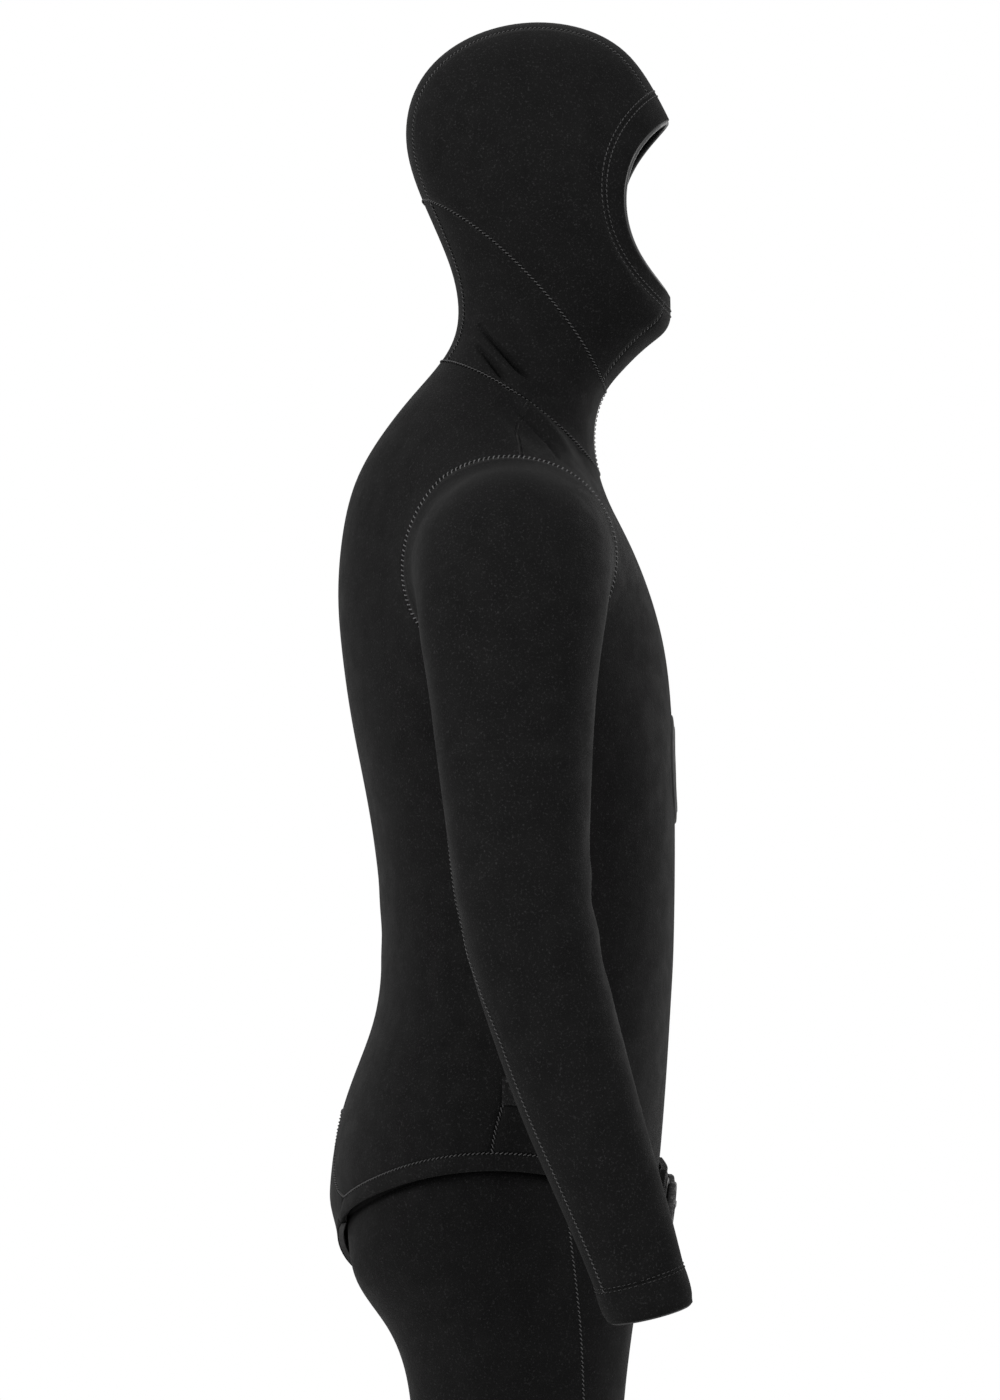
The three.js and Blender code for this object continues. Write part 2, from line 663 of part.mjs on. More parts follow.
// A station of the flap on the belly: three places across, from the wearer's right to left.
function bellyStation(height, halfWidth) {
  const [below, above] = height < hemMiddle + hemBandWidth ? ['hem', 'hemTop'] : ['hemTop', 'hip'];
  const [low, high] = [surface[trunk[below][0]].z, surface[trunk[above][0]].z];
  const share = (crotchZ + height - low) / (high - low);
  const across = [1, 0, 15].map((column) =>
    seatBetween(seatAt(trunk[below][column]), seatAt(trunk[above][column]), share));
  const towards = (edge) => seatBetween(across[1], edge, halfWidth / Math.abs(edge.point.x));
  return [towards(across[0]), across[1], towards(across[2])];
}

// Lays a sheet of fabric on stations of three places, each with its own height over the surface.
function flapSheet(stations) {
  const layer = (depth) => stations.flatMap(({ seats, height }) =>
    seats.map(({ point, out }) => point.clone().addScaledVector(out, height - depth)));
  const quads = [];
  for (let row = 0; row + 1 < stations.length; row += 1) {
    for (const column of [0, 1]) {
      const start = 3 * row + column;
      quads.push([start, start + 1, start + 4, start + 3]);
    }
  }
  return slab(layer(0), layer(wall), quads);
}

const onTop = flapGap + wall;
const strapSeats = (station) => strap[station].map(seatAt);
const stationBetween = (a, b, share) => a.map((seat, index) => seatBetween(seat, b[index], share));
const foldStart = strapSeats(foldStation);
const flapStart = strapSeats(flapStation);
const foldShare = (2 * seamGap) / foldStart[1].point.distanceTo(flapStart[1].point);
const hemMiddle = surface[trunk.hem[0]].z - crotchZ;
const flapHalfWidth = (height) =>
  between(flapLowHalfWidth, flapTopHalfWidth, Math.min(1, height / flapTopHeight));
const flapStations = [
  { seats: flapStart, height: onTop },
  { seats: strapSeats(flapStation - 1), height: onTop },
  ...[hemMiddle, hemMiddle + hemBandWidth, flapTopHeight].map((height) => (
    { seats: bellyStation(height, flapHalfWidth(height)), height: onTop })),
];
const foldStations = [
  { seats: stationBetween(foldStart, flapStart, foldShare), height: 0 },
  { seats: stationBetween(foldStart, flapStart, 0.5), height: onTop * 0.55 },
  { seats: stationBetween(foldStart, flapStart, 1 - foldShare), height: onTop },
];

// ---- Building the suit ----

const plainPanels = Object.fromEntries(panelNames('skin').map((name) => [name, panelOf('skin', name, 0)]));
const frontSkin = new THREE.Mesh(plainPanels.jacket_front_panel, finish(0)());

// The point on the jacket front straight behind (x, z), and the way that the fabric faces there.
function frontAt(x, z) {
  const ray = new THREE.Raycaster(new THREE.Vector3(x, -1000, z), new THREE.Vector3(0, 1, 0));
  const [hit] = ray.intersectObject(frontSkin);
  return { point: hit.point, out: hit.face.normal.clone() };
}

function lockFrame(x) {
  const { point, out } = frontAt(x, crotchZ + lockHeight);
  const level = new THREE.Vector3(-out.y, out.x, 0).normalize();
  return new THREE.Matrix4().makeBasis(level, out, level.clone().cross(out)).setPosition(point);
}

// Heights along a lock's axis, counted from the jacket front.
const socketBase = partGap + lockStandOff;
const hollowLow = socketBase + socketFloor;
const tongueLow = hollowLow + lockClearance;
const tongueHigh = tongueLow + tongueThickness;
const hollowHigh = tongueHigh + lockClearance;
const socketTop = hollowHigh + socketLid;
const ringLow = Math.max(onTop + lockStandOff, socketTop) + partGap;
const ringHigh = ringLow + ringThickness;
const knobLow = ringHigh + partGap;
const knobHigh = knobLow + knobHeight;
const washerHigh = -wall - partGap - 0.4 * lockStandOff;

function socketSolid(place) {
  const body = disc(socketRadius, socketBase, socketTop, place)
    .add(disc(stubRadius, washerHigh - washerThickness, socketBase + overlap, place, 16));
  const hollow = disc(tongueLength / 2 + lockClearance, hollowLow, hollowHigh, place);
  const slot = block(tongueLength + 2 * lockClearance, tongueWidth + 2 * lockClearance,
    hollowLow + overlap, socketTop + 1, place);
  return body.subtract(hollow.add(slot));
}

function washerSolid(place) {
  return disc(washerRadius, washerHigh - washerThickness, washerHigh, place)
    .subtract(disc(stubRadius + partGap, washerHigh - 2 * washerThickness, washerHigh + 1, place, 16));
}

function ringSolid(place) {
  return disc(ringRadius, ringLow, ringHigh, place)
    .subtract(disc(collarRadius + partGap, ringLow - 1, ringHigh + 1, place, 16));
}

function knobSolid(place) {
  const outline = new THREE.Shape();
  const steps = knobRidges * 4;
  for (let step = 0; step <= steps; step += 1) {
    const angle = (2 * Math.PI * step) / steps;
    const radius = knobRadius - (step % 4 < 2 ? 0 : knobRidgeDepth);
    if (step) outline.lineTo(radius * Math.cos(angle), radius * Math.sin(angle));
    else outline.moveTo(radius, 0);
  }
  const head = new THREE.ExtrudeGeometry(outline, { depth: knobHigh - knobLow, bevelEnabled: false });
  head.rotateX(-Math.PI / 2).translate(0, knobLow, 0).applyMatrix4(place);
  return toSolid(head)
    .add(disc(collarRadius, ringLow, knobLow + 1, place, 16))
    .add(disc(stemRadius, tongueHigh - overlap, ringLow + overlap, place, 16))
    .add(block(tongueLength, tongueWidth, tongueLow, tongueHigh, place));
}

let frontSolid = toSolid(plainPanels.jacket_front_panel);
let flapSolid = toSolid(flapSheet(flapStations));
const hands = [['right', -1], ['left', 1]];
for (const [hand, sign] of hands) {
  const place = lockFrame((sign * lockSpacing) / 2);
  frontSolid = frontSolid.subtract(disc(stubRadius + partGap, -3 * wall, 2 * wall, place, 16));
  flapSolid = flapSolid.subtract(disc(socketRadius + flapHoleClearance, -wall, 4 * wall, place));
  addPart(`lock_socket_${hand}`, fromSolid(socketSolid(place)), moulded);
  addPart(`lock_washer_${hand}`, fromSolid(washerSolid(place)), steel);
  addPart(`lock_ring_${hand}`, fromSolid(ringSolid(place)), moulded);
  addPart(`lock_knob_${hand}`, fromSolid(knobSolid(place)), moulded);
}
plainPanels.jacket_front_panel = fromSolid(frontSolid);

for (const [name, geometry] of Object.entries(plainPanels)) {
  addPart(name, geometry, name === 'hood_face_seal' ? smoothSkin : jersey);
}
for (const name of panelNames('under')) addPart(name, panelOf('under', name, pantsOffset), pantsJersey);
addPart('beavertail_flap', fromSolid(flapSolid), jersey);
addPart('beavertail_fold', flapSheet(foldStations), jersey);

// A thin round pad that follows the chest.
function chestPad() {
  const turns = 24;
  const centreZ = onTrunk(0.645);
  const points = [new THREE.Vector2(0, 0)];
  for (const share of [0.5, 1]) {
    for (let step = 0; step < turns; step += 1) {
      const angle = (2 * Math.PI * step) / turns;
      points.push(new THREE.Vector2(Math.cos(angle), Math.sin(angle)).multiplyScalar(share * chestPadRadius));
    }
  }
  const laid = points.map(({ x, y }) => frontAt(x, centreZ + y).point);
  const away = new THREE.Vector3(0, -1, 0);
  const lifted = (height) => laid.map((point) => point.clone().addScaledVector(away, height));
  const triangles = [];
  const count = points.length;
  const face = (a, b, c) => triangles.push(a, b, c, count + a, count + c, count + b);
  for (let step = 0; step < turns; step += 1) {
    const next = (step + 1) % turns;
    const [a, b, c, d] = [1 + step, 1 + next, 1 + turns + step, 1 + turns + next];
    face(0, a, b);
    face(a, c, d);
    face(a, d, b);
    triangles.push(c, count + c, d, d, count + c, count + d);
  }
  return geometryOf([...lifted(3 * partGap + chestPadThickness), ...lifted(3 * partGap)], triangles);
}
addPart('chest_pad', chestPad(), rubberPrint);

// A small blank tag that stands at the right side seam.
const tag = new THREE.BoxGeometry(...tagSize);
const tagSeat = surface[trunk.hip[4]].clone().lerp(surface[trunk.overHip[4]], 0.3);
const tagMiddle = tagSeat.y + tagSize[1] / 2 - tagForward;
const sideSkin = ['jacket_front_panel', 'jacket_back_panel'].map((name) => (
  new THREE.Mesh(plainPanels[name], finish(0)())
));
const hipSide = Math.min(...[-1, 0, 1].flatMap((along) => [-1, 0, 1].map((up) => {
  const y = tagMiddle + (along * tagSize[1]) / 2;
  const ray = new THREE.Raycaster(
    new THREE.Vector3(-1000, y, tagSeat.z + (up * tagSize[2]) / 2),
    new THREE.Vector3(1, 0, 0),
  );
  const [hit] = ray.intersectObjects(sideSkin);
  return hit ? hit.point.x : tagSeat.x;
})));
tag.translate(hipSide - partGap - tagSize[0] / 2, tagMiddle, tagSeat.z);
addPart('side_tag', tag, ribbon);

export default suit;
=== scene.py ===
"""A two-piece hooded neoprene diving suit: a jacket with hood and beavertail, worn over a pair of pants.

The suit's surface is a control cage of body sections, smoothed by subdivision. Panels are cut from it, given
the fabric's thickness, seams and stitches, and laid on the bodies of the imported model.
"""

import json
import math

import bmesh
import bpy
import numpy as np
from mathutils import Matrix, Vector
from mathutils.bvhtree import BVHTree

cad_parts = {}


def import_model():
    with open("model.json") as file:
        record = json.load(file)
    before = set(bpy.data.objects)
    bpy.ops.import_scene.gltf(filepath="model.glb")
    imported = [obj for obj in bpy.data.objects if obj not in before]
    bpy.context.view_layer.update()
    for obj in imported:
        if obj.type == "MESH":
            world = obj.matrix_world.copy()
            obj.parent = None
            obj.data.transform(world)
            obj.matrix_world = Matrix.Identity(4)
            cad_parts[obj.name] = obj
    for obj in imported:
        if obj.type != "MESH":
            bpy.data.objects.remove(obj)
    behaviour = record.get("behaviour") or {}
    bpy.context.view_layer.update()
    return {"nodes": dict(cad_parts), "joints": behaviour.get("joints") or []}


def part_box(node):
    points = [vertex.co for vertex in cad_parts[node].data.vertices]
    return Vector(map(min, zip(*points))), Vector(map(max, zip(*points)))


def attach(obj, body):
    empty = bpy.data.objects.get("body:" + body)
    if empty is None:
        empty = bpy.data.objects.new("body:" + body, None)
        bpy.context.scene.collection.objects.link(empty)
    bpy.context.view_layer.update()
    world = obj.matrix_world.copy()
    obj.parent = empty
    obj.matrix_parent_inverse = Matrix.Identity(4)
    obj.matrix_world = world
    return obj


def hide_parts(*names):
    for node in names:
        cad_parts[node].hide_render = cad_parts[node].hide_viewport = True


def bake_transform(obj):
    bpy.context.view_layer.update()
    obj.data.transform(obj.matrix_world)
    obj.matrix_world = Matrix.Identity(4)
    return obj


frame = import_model()
HANDS = (("right", -1), ("left", 1))
LEVELS = 3
STEPS = 2**LEVELS

# ---- Camera and light ----


def look_at(obj, target):
    obj.rotation_euler = (Vector(target) - obj.location).to_track_quat("-Z", "Y").to_euler()


AIM = Vector((0, 0.006, 1.227))
CAMERA_AWAY, LENS_MM, SENSOR_MM = 3.2, 107, 36
camera = bpy.data.objects.new("camera", bpy.data.cameras.new("camera"))
camera.location = AIM - Vector((CAMERA_AWAY, 0, 0))
camera.data.lens = LENS_MM
camera.data.sensor_width = SENSOR_MM
look_at(camera, AIM)
bpy.context.collection.objects.link(camera)
bpy.context.scene.camera = camera


def add_light(name, place, target, size, power):
    lamp = bpy.data.lights.new(name, "AREA")
    lamp.shape, lamp.size, lamp.energy = "DISK", size, power
    lamp.color = (1.0, 0.985, 0.965)
    obj = bpy.data.objects.new(name, lamp)
    obj.location = place
    look_at(obj, target)
    bpy.context.collection.objects.link(obj)


add_light("key_light", (-2.6, -2.2, 3.2), (0, 0, 1.2), 1.3, 120)
add_light("back_light", (-1.8, 2.6, 2.6), (0, 0, 1.2), 1.4, 150)
add_light("front_light", (2.4, -2.6, 1.8), (0, 0, 1.1), 1.8, 20)

world = bpy.data.worlds.new("studio")
world.use_nodes = True
world.node_tree.nodes["Background"].inputs["Color"].default_value = (1, 1, 1, 1)
world.node_tree.nodes["Background"].inputs["Strength"].default_value = 1.0
bpy.context.scene.world = world
bpy.context.scene.view_settings.view_transform = "Standard"

# ---- Materials ----


def material(name, color, roughness, sheen=0.0, metallic=0.0, specular=0.5):
    made = bpy.data.materials.new(name)
    made.use_nodes = True
    shader = made.node_tree.nodes["Principled BSDF"]
    shader.inputs["Base Color"].default_value = (*color, 1)
    shader.inputs["Roughness"].default_value = roughness
    shader.inputs["Metallic"].default_value = metallic
    shader.inputs["Sheen Weight"].default_value = sheen
    shader.inputs["Sheen Roughness"].default_value = 0.45
    shader.inputs["Specular IOR Level"].default_value = specular
    return made


class Nodes:
    """Adds nodes to a material, all of them on object coordinates."""

    def __init__(self, made):
        self.tree = made.node_tree
        self.shader = self.tree.nodes["Principled BSDF"]
        self.place = self.tree.nodes.new("ShaderNodeTexCoord").outputs["Object"]

    def add(self, kind, **sockets):
        node = self.tree.nodes.new(kind)
        for name, value in sockets.items():
            socket = node.inputs[name.replace("_", " ")]
            if isinstance(value, bpy.types.NodeSocket):
                self.tree.links.new(value, socket)
            else:
                socket.default_value = value
        return node

    def noise(self, scale, detail, roughness=0.5):
        sockets = {"Scale": scale, "Detail": detail, "Roughness": roughness}
        return self.add("ShaderNodeTexNoise", Vector=self.place, **sockets).outputs["Fac"]

    def cells(self, scale):
        return self.add("ShaderNodeTexVoronoi", Vector=self.place, Scale=scale).outputs["Distance"]

    def stretch(self, value, low, high, out_low, out_high):
        node = self.add("ShaderNodeMapRange", Value=value)
        ends = {"From Min": low, "From Max": high, "To Min": out_low, "To Max": out_high}
        for name, number in ends.items():
            node.inputs[name].default_value = number
        return node.outputs["Result"]

    def blend(self, share, first, second):
        node = self.tree.nodes.new("ShaderNodeMix")
        node.data_type = "RGBA"
        self.tree.links.new(share, node.inputs["Factor"])
        for socket, value in ((node.inputs[6], first), (node.inputs[7], second)):
            if isinstance(value, bpy.types.NodeSocket):
                self.tree.links.new(value, socket)
            else:
                socket.default_value = (*value, 1)
        return node.outputs[2]

    def bumps(self, *layers):
        """Each layer is a height, how strong it is, and how deep in metres. One rests on the next."""
        normal = None
        for height, strength, depth in layers:
            node = self.add("ShaderNodeBump", Height=height, Strength=strength, Distance=depth)
            if normal:
                self.tree.links.new(normal, node.inputs["Normal"])
            normal = node.outputs["Normal"]
        self.tree.links.new(normal, self.shader.inputs["Normal"])

    def set(self, name, value):
        self.tree.links.new(value, self.shader.inputs[name])


def jersey(name, dark, light, sheen=0.012):
    """Neoprene faced with a fine knit: fibre flecks on a nearly black ground, a knit's grain, soft sheen."""
    made = material(name, dark, 0.82, sheen, specular=0.05)
    n = Nodes(made)
    mottled = n.blend(n.stretch(n.noise(9, 3), 0.35, 0.7, 0, 0.45), dark, light)
    flecks = n.stretch(n.noise(620, 3, 0.7), 0.56, 0.74, 0, 0.75)
    lint = tuple(6 * channel for channel in light)
    n.set("Base Color", n.blend(flecks, mottled, lint))
    n.set("Roughness", n.stretch(n.noise(60, 3), 0.3, 0.7, 0.74, 0.9))
    knit = n.cells(1150)
    n.bumps((n.noise(14, 2), 0.10, 0.004), (n.noise(330, 3), 0.22, 0.0006), (knit, 0.35, 0.0004))
    return made


def smooth_skin(name, dark, light, roughness=0.34, specular=0.45):
    """Bare neoprene skin: slightly shiny, finely crazed and cloudy."""
    made = material(name, dark, roughness, specular=specular)
    n = Nodes(made)
    n.set("Base Color", n.blend(n.stretch(n.noise(45, 4), 0.3, 0.7, 0, 1), dark, light))
    n.set("Roughness", n.stretch(n.noise(120, 3), 0.3, 0.7, roughness - 0.07, roughness + 0.12))
    n.bumps((n.noise(90, 3), 0.25, 0.0008), (n.cells(520), 0.12, 0.0003))
    return made


def moulded(name, dark, light, roughness=0.46):
    """Moulded plastic with a fine spark-eroded grain and slightly rubbed patches."""
    made = material(name, dark, roughness, specular=0.22)
    n = Nodes(made)
    n.set("Base Color", n.blend(n.stretch(n.noise(160, 4), 0.45, 0.75, 0, 0.8), dark, light))
    n.set("Roughness", n.stretch(n.noise(240, 3), 0.3, 0.7, roughness - 0.08, roughness + 0.16))
    n.bumps((n.noise(1500, 2), 0.18, 0.0002))
    return made


def thread_like(name, dark, light):
    made = material(name, dark, 0.62, 0.05, specular=0.25)
    n = Nodes(made)
    n.set("Base Color", n.blend(n.stretch(n.noise(800, 2), 0.35, 0.65, 0, 1), dark, light))
    n.bumps((n.noise(2600, 2), 0.5, 0.0002))
    return made


def brushed(name, color):
    made = material(name, color, 0.3, metallic=1.0)
    n = Nodes(made)
    n.set("Roughness", n.stretch(n.noise(700, 3), 0.3, 0.7, 0.22, 0.42))
    n.bumps((n.noise(900, 2), 0.2, 0.0001))
    return made


JACKET = jersey("jacket_jersey", (0.0017, 0.0017, 0.0018), (0.0026, 0.0026, 0.0027))
PANTS = jersey("pants_jersey", (0.0015, 0.0015, 0.0016), (0.0022, 0.0022, 0.0023))
BINDING = jersey("hem_binding", (0.0020, 0.0020, 0.0021), (0.0031, 0.0031, 0.0032), 0.012)
LINING = jersey("nylon_lining", (0.007, 0.007, 0.0072), (0.011, 0.011, 0.0114), 0.03)
FOAM = smooth_skin("cut_foam", (0.010, 0.010, 0.0104), (0.017, 0.017, 0.0175), 0.6, 0.2)
SKIN = smooth_skin("seal_skin", (0.010, 0.0105, 0.011), (0.017, 0.0175, 0.018), 0.42, 0.3)
PLASTIC = moulded("lock_plastic", (0.004, 0.004, 0.0042), (0.010, 0.010, 0.0104))
THREAD = thread_like("seam_thread", (0.022, 0.022, 0.0228), (0.055, 0.055, 0.057))
DULL_THREAD = thread_like("dull_thread", (0.011, 0.011, 0.0114), (0.026, 0.026, 0.027))
PAD = smooth_skin("pad_rubber", (0.005, 0.005, 0.0052), (0.009, 0.009, 0.0093), 0.6, 0.12)
RIBBON = jersey("tag_ribbon", (0.003, 0.003, 0.0031), (0.007, 0.007, 0.0072), 0.02)
STEEL = brushed("washer_steel", (0.45, 0.46, 0.47))

# ---- Dimensions of the suit, in millimetres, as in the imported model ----

KNEE, LEG, TRUNK, HOOD = 450, 766, 632, 347
HIPS, WAIST, CHEST, NECK, HEAD = 180, 147, 160, 66, 82
WALL, LAYER_GAP, FLAP_GAP = 5, 3, 1.8
HEM_BAND, WRIST_CUFF, ANKLE_CUFF, WAISTBAND = 12, 22, 25, 30
ELBOW_BAND, KNEE_BAND, HIP_DROP = 66, 75, 116
THROAT = LEG + TRUNK
COLUMNS, LEG_COLUMNS = 16, 14
ARM_Y, ARM_Z = -2, LEG + 0.894 * TRUNK
ELBOW = ARM_Z - 262
WRIST = ELBOW - 270
ARMHOLE_DEPTH, ARMHOLE_HEIGHT, ARMHOLE_LEAN = 74, 70, 10


def between(a, b, share):
    return a + (b - a) * share


def on_trunk(share):
    return LEG + share * TRUNK


def on_hood(share):
    return THROAT + share * HOOD


def swell(count):
    return 3 / (2 + math.cos(2 * math.pi / count))


def trunk_section(front, back, half_width, bow=0):
    middle = ((front[0] + back[0]) / 2, (front[1] + back[1]) / 2)
    half = ((back[0] - front[0]) / 2, (back[1] - front[1]) / 2)
    length = math.hypot(*half)
    grown = swell(COLUMNS)

    def soften(value):
        return math.copysign(abs(value) ** (2 / 2.3), value) if value else 0.0

    loop = []
    for column in range(COLUMNS):
        angle = 2 * math.pi * column / COLUMNS
        along = -soften(math.cos(angle)) * grown
        lift = bow * math.sin(angle) ** 2
        loop.append((
            -half_width * soften(math.sin(angle)) * grown,
            middle[0] + half[0] * along - half[1] / length * lift,
            middle[1] + half[1] * along + half[0] / length * lift,
        ))
    return loop


def limb_section(outer, inner, y, half_depth, lean, count, first_turn, turn):
    grown = swell(count)
    tilt = math.radians(lean)
    middle = ((outer[0] + inner[0]) / 2, (outer[1] + inner[1]) / 2)
    loop = []
    for index in range(count):
        angle = 2 * math.pi * (index - first_turn) / count
        across = math.cos(angle) * grown
        back = turn * math.sin(angle) * grown * half_depth
        loop.append((
            -(middle[0] + (outer[0] - middle[0]) * across),
            y + back * math.cos(tilt),
            middle[1] + (outer[1] - middle[1]) * across - back * math.sin(tilt),
        ))
    return loop


# Each section: front point (y, z), back point (y, z), half-width, bow.
ROWS = {
    "hem": ((-113, on_trunk(0.114)), (136, on_trunk(0.111)), HIPS, 58),
    "hem_top": ((-114, on_trunk(0.114) + HEM_BAND), (137, on_trunk(0.111) + HEM_BAND), HIPS + 0.5, 58),
    "hip": ((-119, on_trunk(0.22)), (130, on_trunk(0.228)), HIPS - 2, 26),
    "over_hip": ((-123, on_trunk(0.315)), (105, on_trunk(0.32)), between(HIPS, WAIST, 0.34), 0),
    "waistband": (
        (-125, on_trunk(0.418) - WAISTBAND), (98, on_trunk(0.418) - WAISTBAND), between(HIPS, WAIST, 0.6), 0),
    "waistband_top": ((-127, on_trunk(0.418)), (96, on_trunk(0.418)), between(HIPS, WAIST, 0.82), 0),
    "waist": ((-128, on_trunk(0.513)), (98, on_trunk(0.513)), WAIST, 0),
    "ribs": ((-128, on_trunk(0.608)), (107, on_trunk(0.608)), between(WAIST, CHEST, 0.25), 0),
    "low_chest": ((-126, on_trunk(0.703)), (120, on_trunk(0.703)), between(WAIST, CHEST, 0.6), 0),
    "armpit": ((-122, on_trunk(0.78)), (127, on_trunk(0.785)), CHEST - 2, 0),
    "chest": ((-113, on_trunk(0.839)), (131, on_trunk(0.853)), CHEST, 0),
    "high_chest": ((-103, on_trunk(0.884)), (128, on_trunk(0.924)), CHEST, 0),
    "collarbone": ((-92, on_trunk(0.924)), (119, on_trunk(0.995)), CHEST - 2, 0),
    "shoulder": ((-80, on_trunk(0.959)), (96, on_trunk(1.054)), CHEST - 8, 0),
    "slope": ((-74, on_trunk(0.981)), (72, on_trunk(1.101)), between(NECK, CHEST, 0.49), 8),
    "neck_seam": ((-70, THROAT), (50, on_trunk(1.139)), NECK + 12, 10),
    "low_neck": ((-65, on_hood(0.063)), (36, on_hood(0.329)), NECK + 3, 13),
    "neck": ((-66, on_hood(0.13)), (40, on_hood(0.452)), NECK, 16),
    "hood_seam": ((-73, on_hood(0.19)), (68, on_hood(0.617)), NECK + 5, 18),
    "nape": ((-88, on_hood(0.239)), (82, on_hood(0.743)), HEAD - 6, 9),
    "back_of_head": ((-101, on_hood(0.277)), (73, on_hood(0.872)), HEAD - 2, -3),
    "ears": ((-112, on_hood(0.303)), (41, on_hood(0.965)), HEAD, -14),
    "crown": ((-119, on_hood(0.317)), (-6, on_hood(1.012)), HEAD, -26),
    "temples": ((-124, on_hood(0.331)), (-55, on_hood(1.006)), HEAD - 2, -38),
    "forehead": ((-127, on_hood(0.346)), (-96, on_hood(0.95)), HEAD - 5, -49),
    "seal_edge": ((-128, on_hood(0.358)), (-119, on_hood(0.838)), HEAD - 9, -56),
    "face_edge": ((-127, on_hood(0.398)), (-126, on_hood(0.792)), HEAD - 19, -41),
}
ROW_NAMES = list(ROWS)
ARMHOLE_ROWS = ("shoulder", "collarbone", "high_chest", "chest", "armpit")
ARMPIT = ARM_Z - ARMHOLE_HEIGHT


def straight_sleeve(x, half_width, z, y, half_depth, lean):
    return ((x + half_width, z), (x - half_width, z), y, half_depth, lean)


SLEEVES = [
    ((CHEST + 27, ARM_Z + 64), (CHEST + 4, ARMPIT - 4), -3, 73, 0),
    ((CHEST + 60, ARM_Z + 53), (CHEST + 8, ARMPIT - 9), -3, 71.5, 0),
    ((CHEST + 90, ARM_Z + 21), (CHEST + 10, ARMPIT - 16), -3, 69, 0),
    ((CHEST + 107, ARM_Z - 26), (CHEST + 12, ARMPIT - 26), -2, 65.5, 0),
    ((CHEST + 117, between(ARM_Z, ELBOW, 0.31)), (CHEST + 15, between(ARM_Z, ELBOW, 0.42)), -3, 60, 0),
    straight_sleeve(CHEST + 72, 52.5, between(ARM_Z, ELBOW, 0.53), -4, 56, 0),
    straight_sleeve(CHEST + 80, 50.5, ELBOW + ELBOW_BAND, -7, 51, 2),
    straight_sleeve(CHEST + 87, 49, ELBOW + ELBOW_BAND / 2, -9, 48.5, 5),
    straight_sleeve(CHEST + 93, 47.5, ELBOW, -14, 47.5, 10),
    straight_sleeve(CHEST + 98, 45.5, ELBOW - ELBOW_BAND / 2, -21, 46, 15),
    straight_sleeve(CHEST + 103, 43.5, ELBOW - ELBOW_BAND, -31, 44.5, 17),
    straight_sleeve(CHEST + 110, 40.5, between(ELBOW, WRIST, 0.43), -46, 42.5, 18),
    straight_sleeve(CHEST + 117, 35.5, between(ELBOW, WRIST, 0.63), -65, 38, 18),
    straight_sleeve(CHEST + 124, 31.5, between(ELBOW, WRIST, 0.8), -82, 34.5, 18),
    straight_sleeve(CHEST + 128, 29, WRIST + WRIST_CUFF, -92, 32, 16),
    straight_sleeve(CHEST + 130, 28.5, WRIST, -99, 31.5, 14),
]


def straight_leg(outer, inner, z, y, half_depth):
    return ((outer, z), (inner, z), y, half_depth, 0)


LEGS = [
    ((HIPS + 3, LEG + 72), (19, LEG - 16), 10, 116, 0),
    ((HIPS + 3, LEG + 29), (12, LEG - 44), -3, 98, 0),
    ((HIPS + 1, LEG - 16), (9, LEG - 76), -7, 89, 0),
    ((HIPS - 1, LEG - 66), (9, LEG - 101), -7, 86, 0),
    straight_leg(HIPS - 4, 12, LEG - HIP_DROP, -6, 84),
    straight_leg(HIPS - 9, 20, between(LEG - HIP_DROP, KNEE + KNEE_BAND, 0.5), -5, 80),
    straight_leg(HIPS - 16, 32, KNEE + KNEE_BAND, -4, 75),
    straight_leg(HIPS - 22, 37, KNEE + KNEE_BAND / 2, -6, 70),
    straight_leg(HIPS - 26, 38, KNEE, -6, 68),
    straight_leg(HIPS - 28, 40, KNEE - KNEE_BAND / 2, -1, 66),
    straight_leg(HIPS - 27, 38, KNEE - KNEE_BAND, 5, 67),
    straight_leg(HIPS - 24, 36, 0.71 * KNEE, 10, 70),
    straight_leg(HIPS - 28, 40, 0.55 * KNEE, 10, 64),
    straight_leg(HIPS - 34, 50, 0.38 * KNEE, 6, 54),
    straight_leg(HIPS - 38, 52, 0.22 * KNEE, 1, 48),
    straight_leg(HIPS - 36, 52, ANKLE_CUFF, -1, 50),
    straight_leg(HIPS - 36, 52, 0, -1, 50),
]
# Each station of the strap: half-width, y of its middle, y of its edges, height over the crotch.
STRAP = [
    (46, -111, -106, 47), (38, -102, -99, 24), (30, -76, -75, 6), (24, -18, -18, -1),
    (26, 48, 48, 1), (35, 97, 98, 14), (48, 127, 127, 43),
]
FOLD_STATION = 2

# ---- The control cage ----

cage_points = []
cage_faces = []  # corners, jacket panel, pants panel, region, grid place of each corner


def add_loop(loop):
    start = len(cage_points)
    cage_points.extend(loop)
    return list(range(start, start + len(loop)))


def mirrored(loop):
    return [(-x, y, z) for x, y, z in loop]


def armhole_point(angle):
    grown = swell(COLUMNS)
    side = CHEST - 6 - 4 * math.cos(angle) - 20 * math.sin(angle) ** 2
    depth = ARMHOLE_DEPTH * math.sin(angle) + ARMHOLE_LEAN * math.cos(angle)
    return (-side, ARM_Y - depth * grown, ARM_Z + ARMHOLE_HEIGHT * math.cos(angle) * grown)


def armhole_places(side_column, towards_front):
    def place(row, steps):
        return (row, side_column + steps * towards_front)

    front = [place(row, 2) for row in ARMHOLE_ROWS[1:4]]
    back = [place(row, -2) for row in reversed(ARMHOLE_ROWS[1:4])]
    top = [place("shoulder", steps) for steps in (0, 1, 2)]
    bottom = [place("armpit", steps) for steps in (2, 1, 0, -1, -2)]
    return [*top, *front, *bottom, *back, place("shoulder", -2), place("shoulder", -1)]


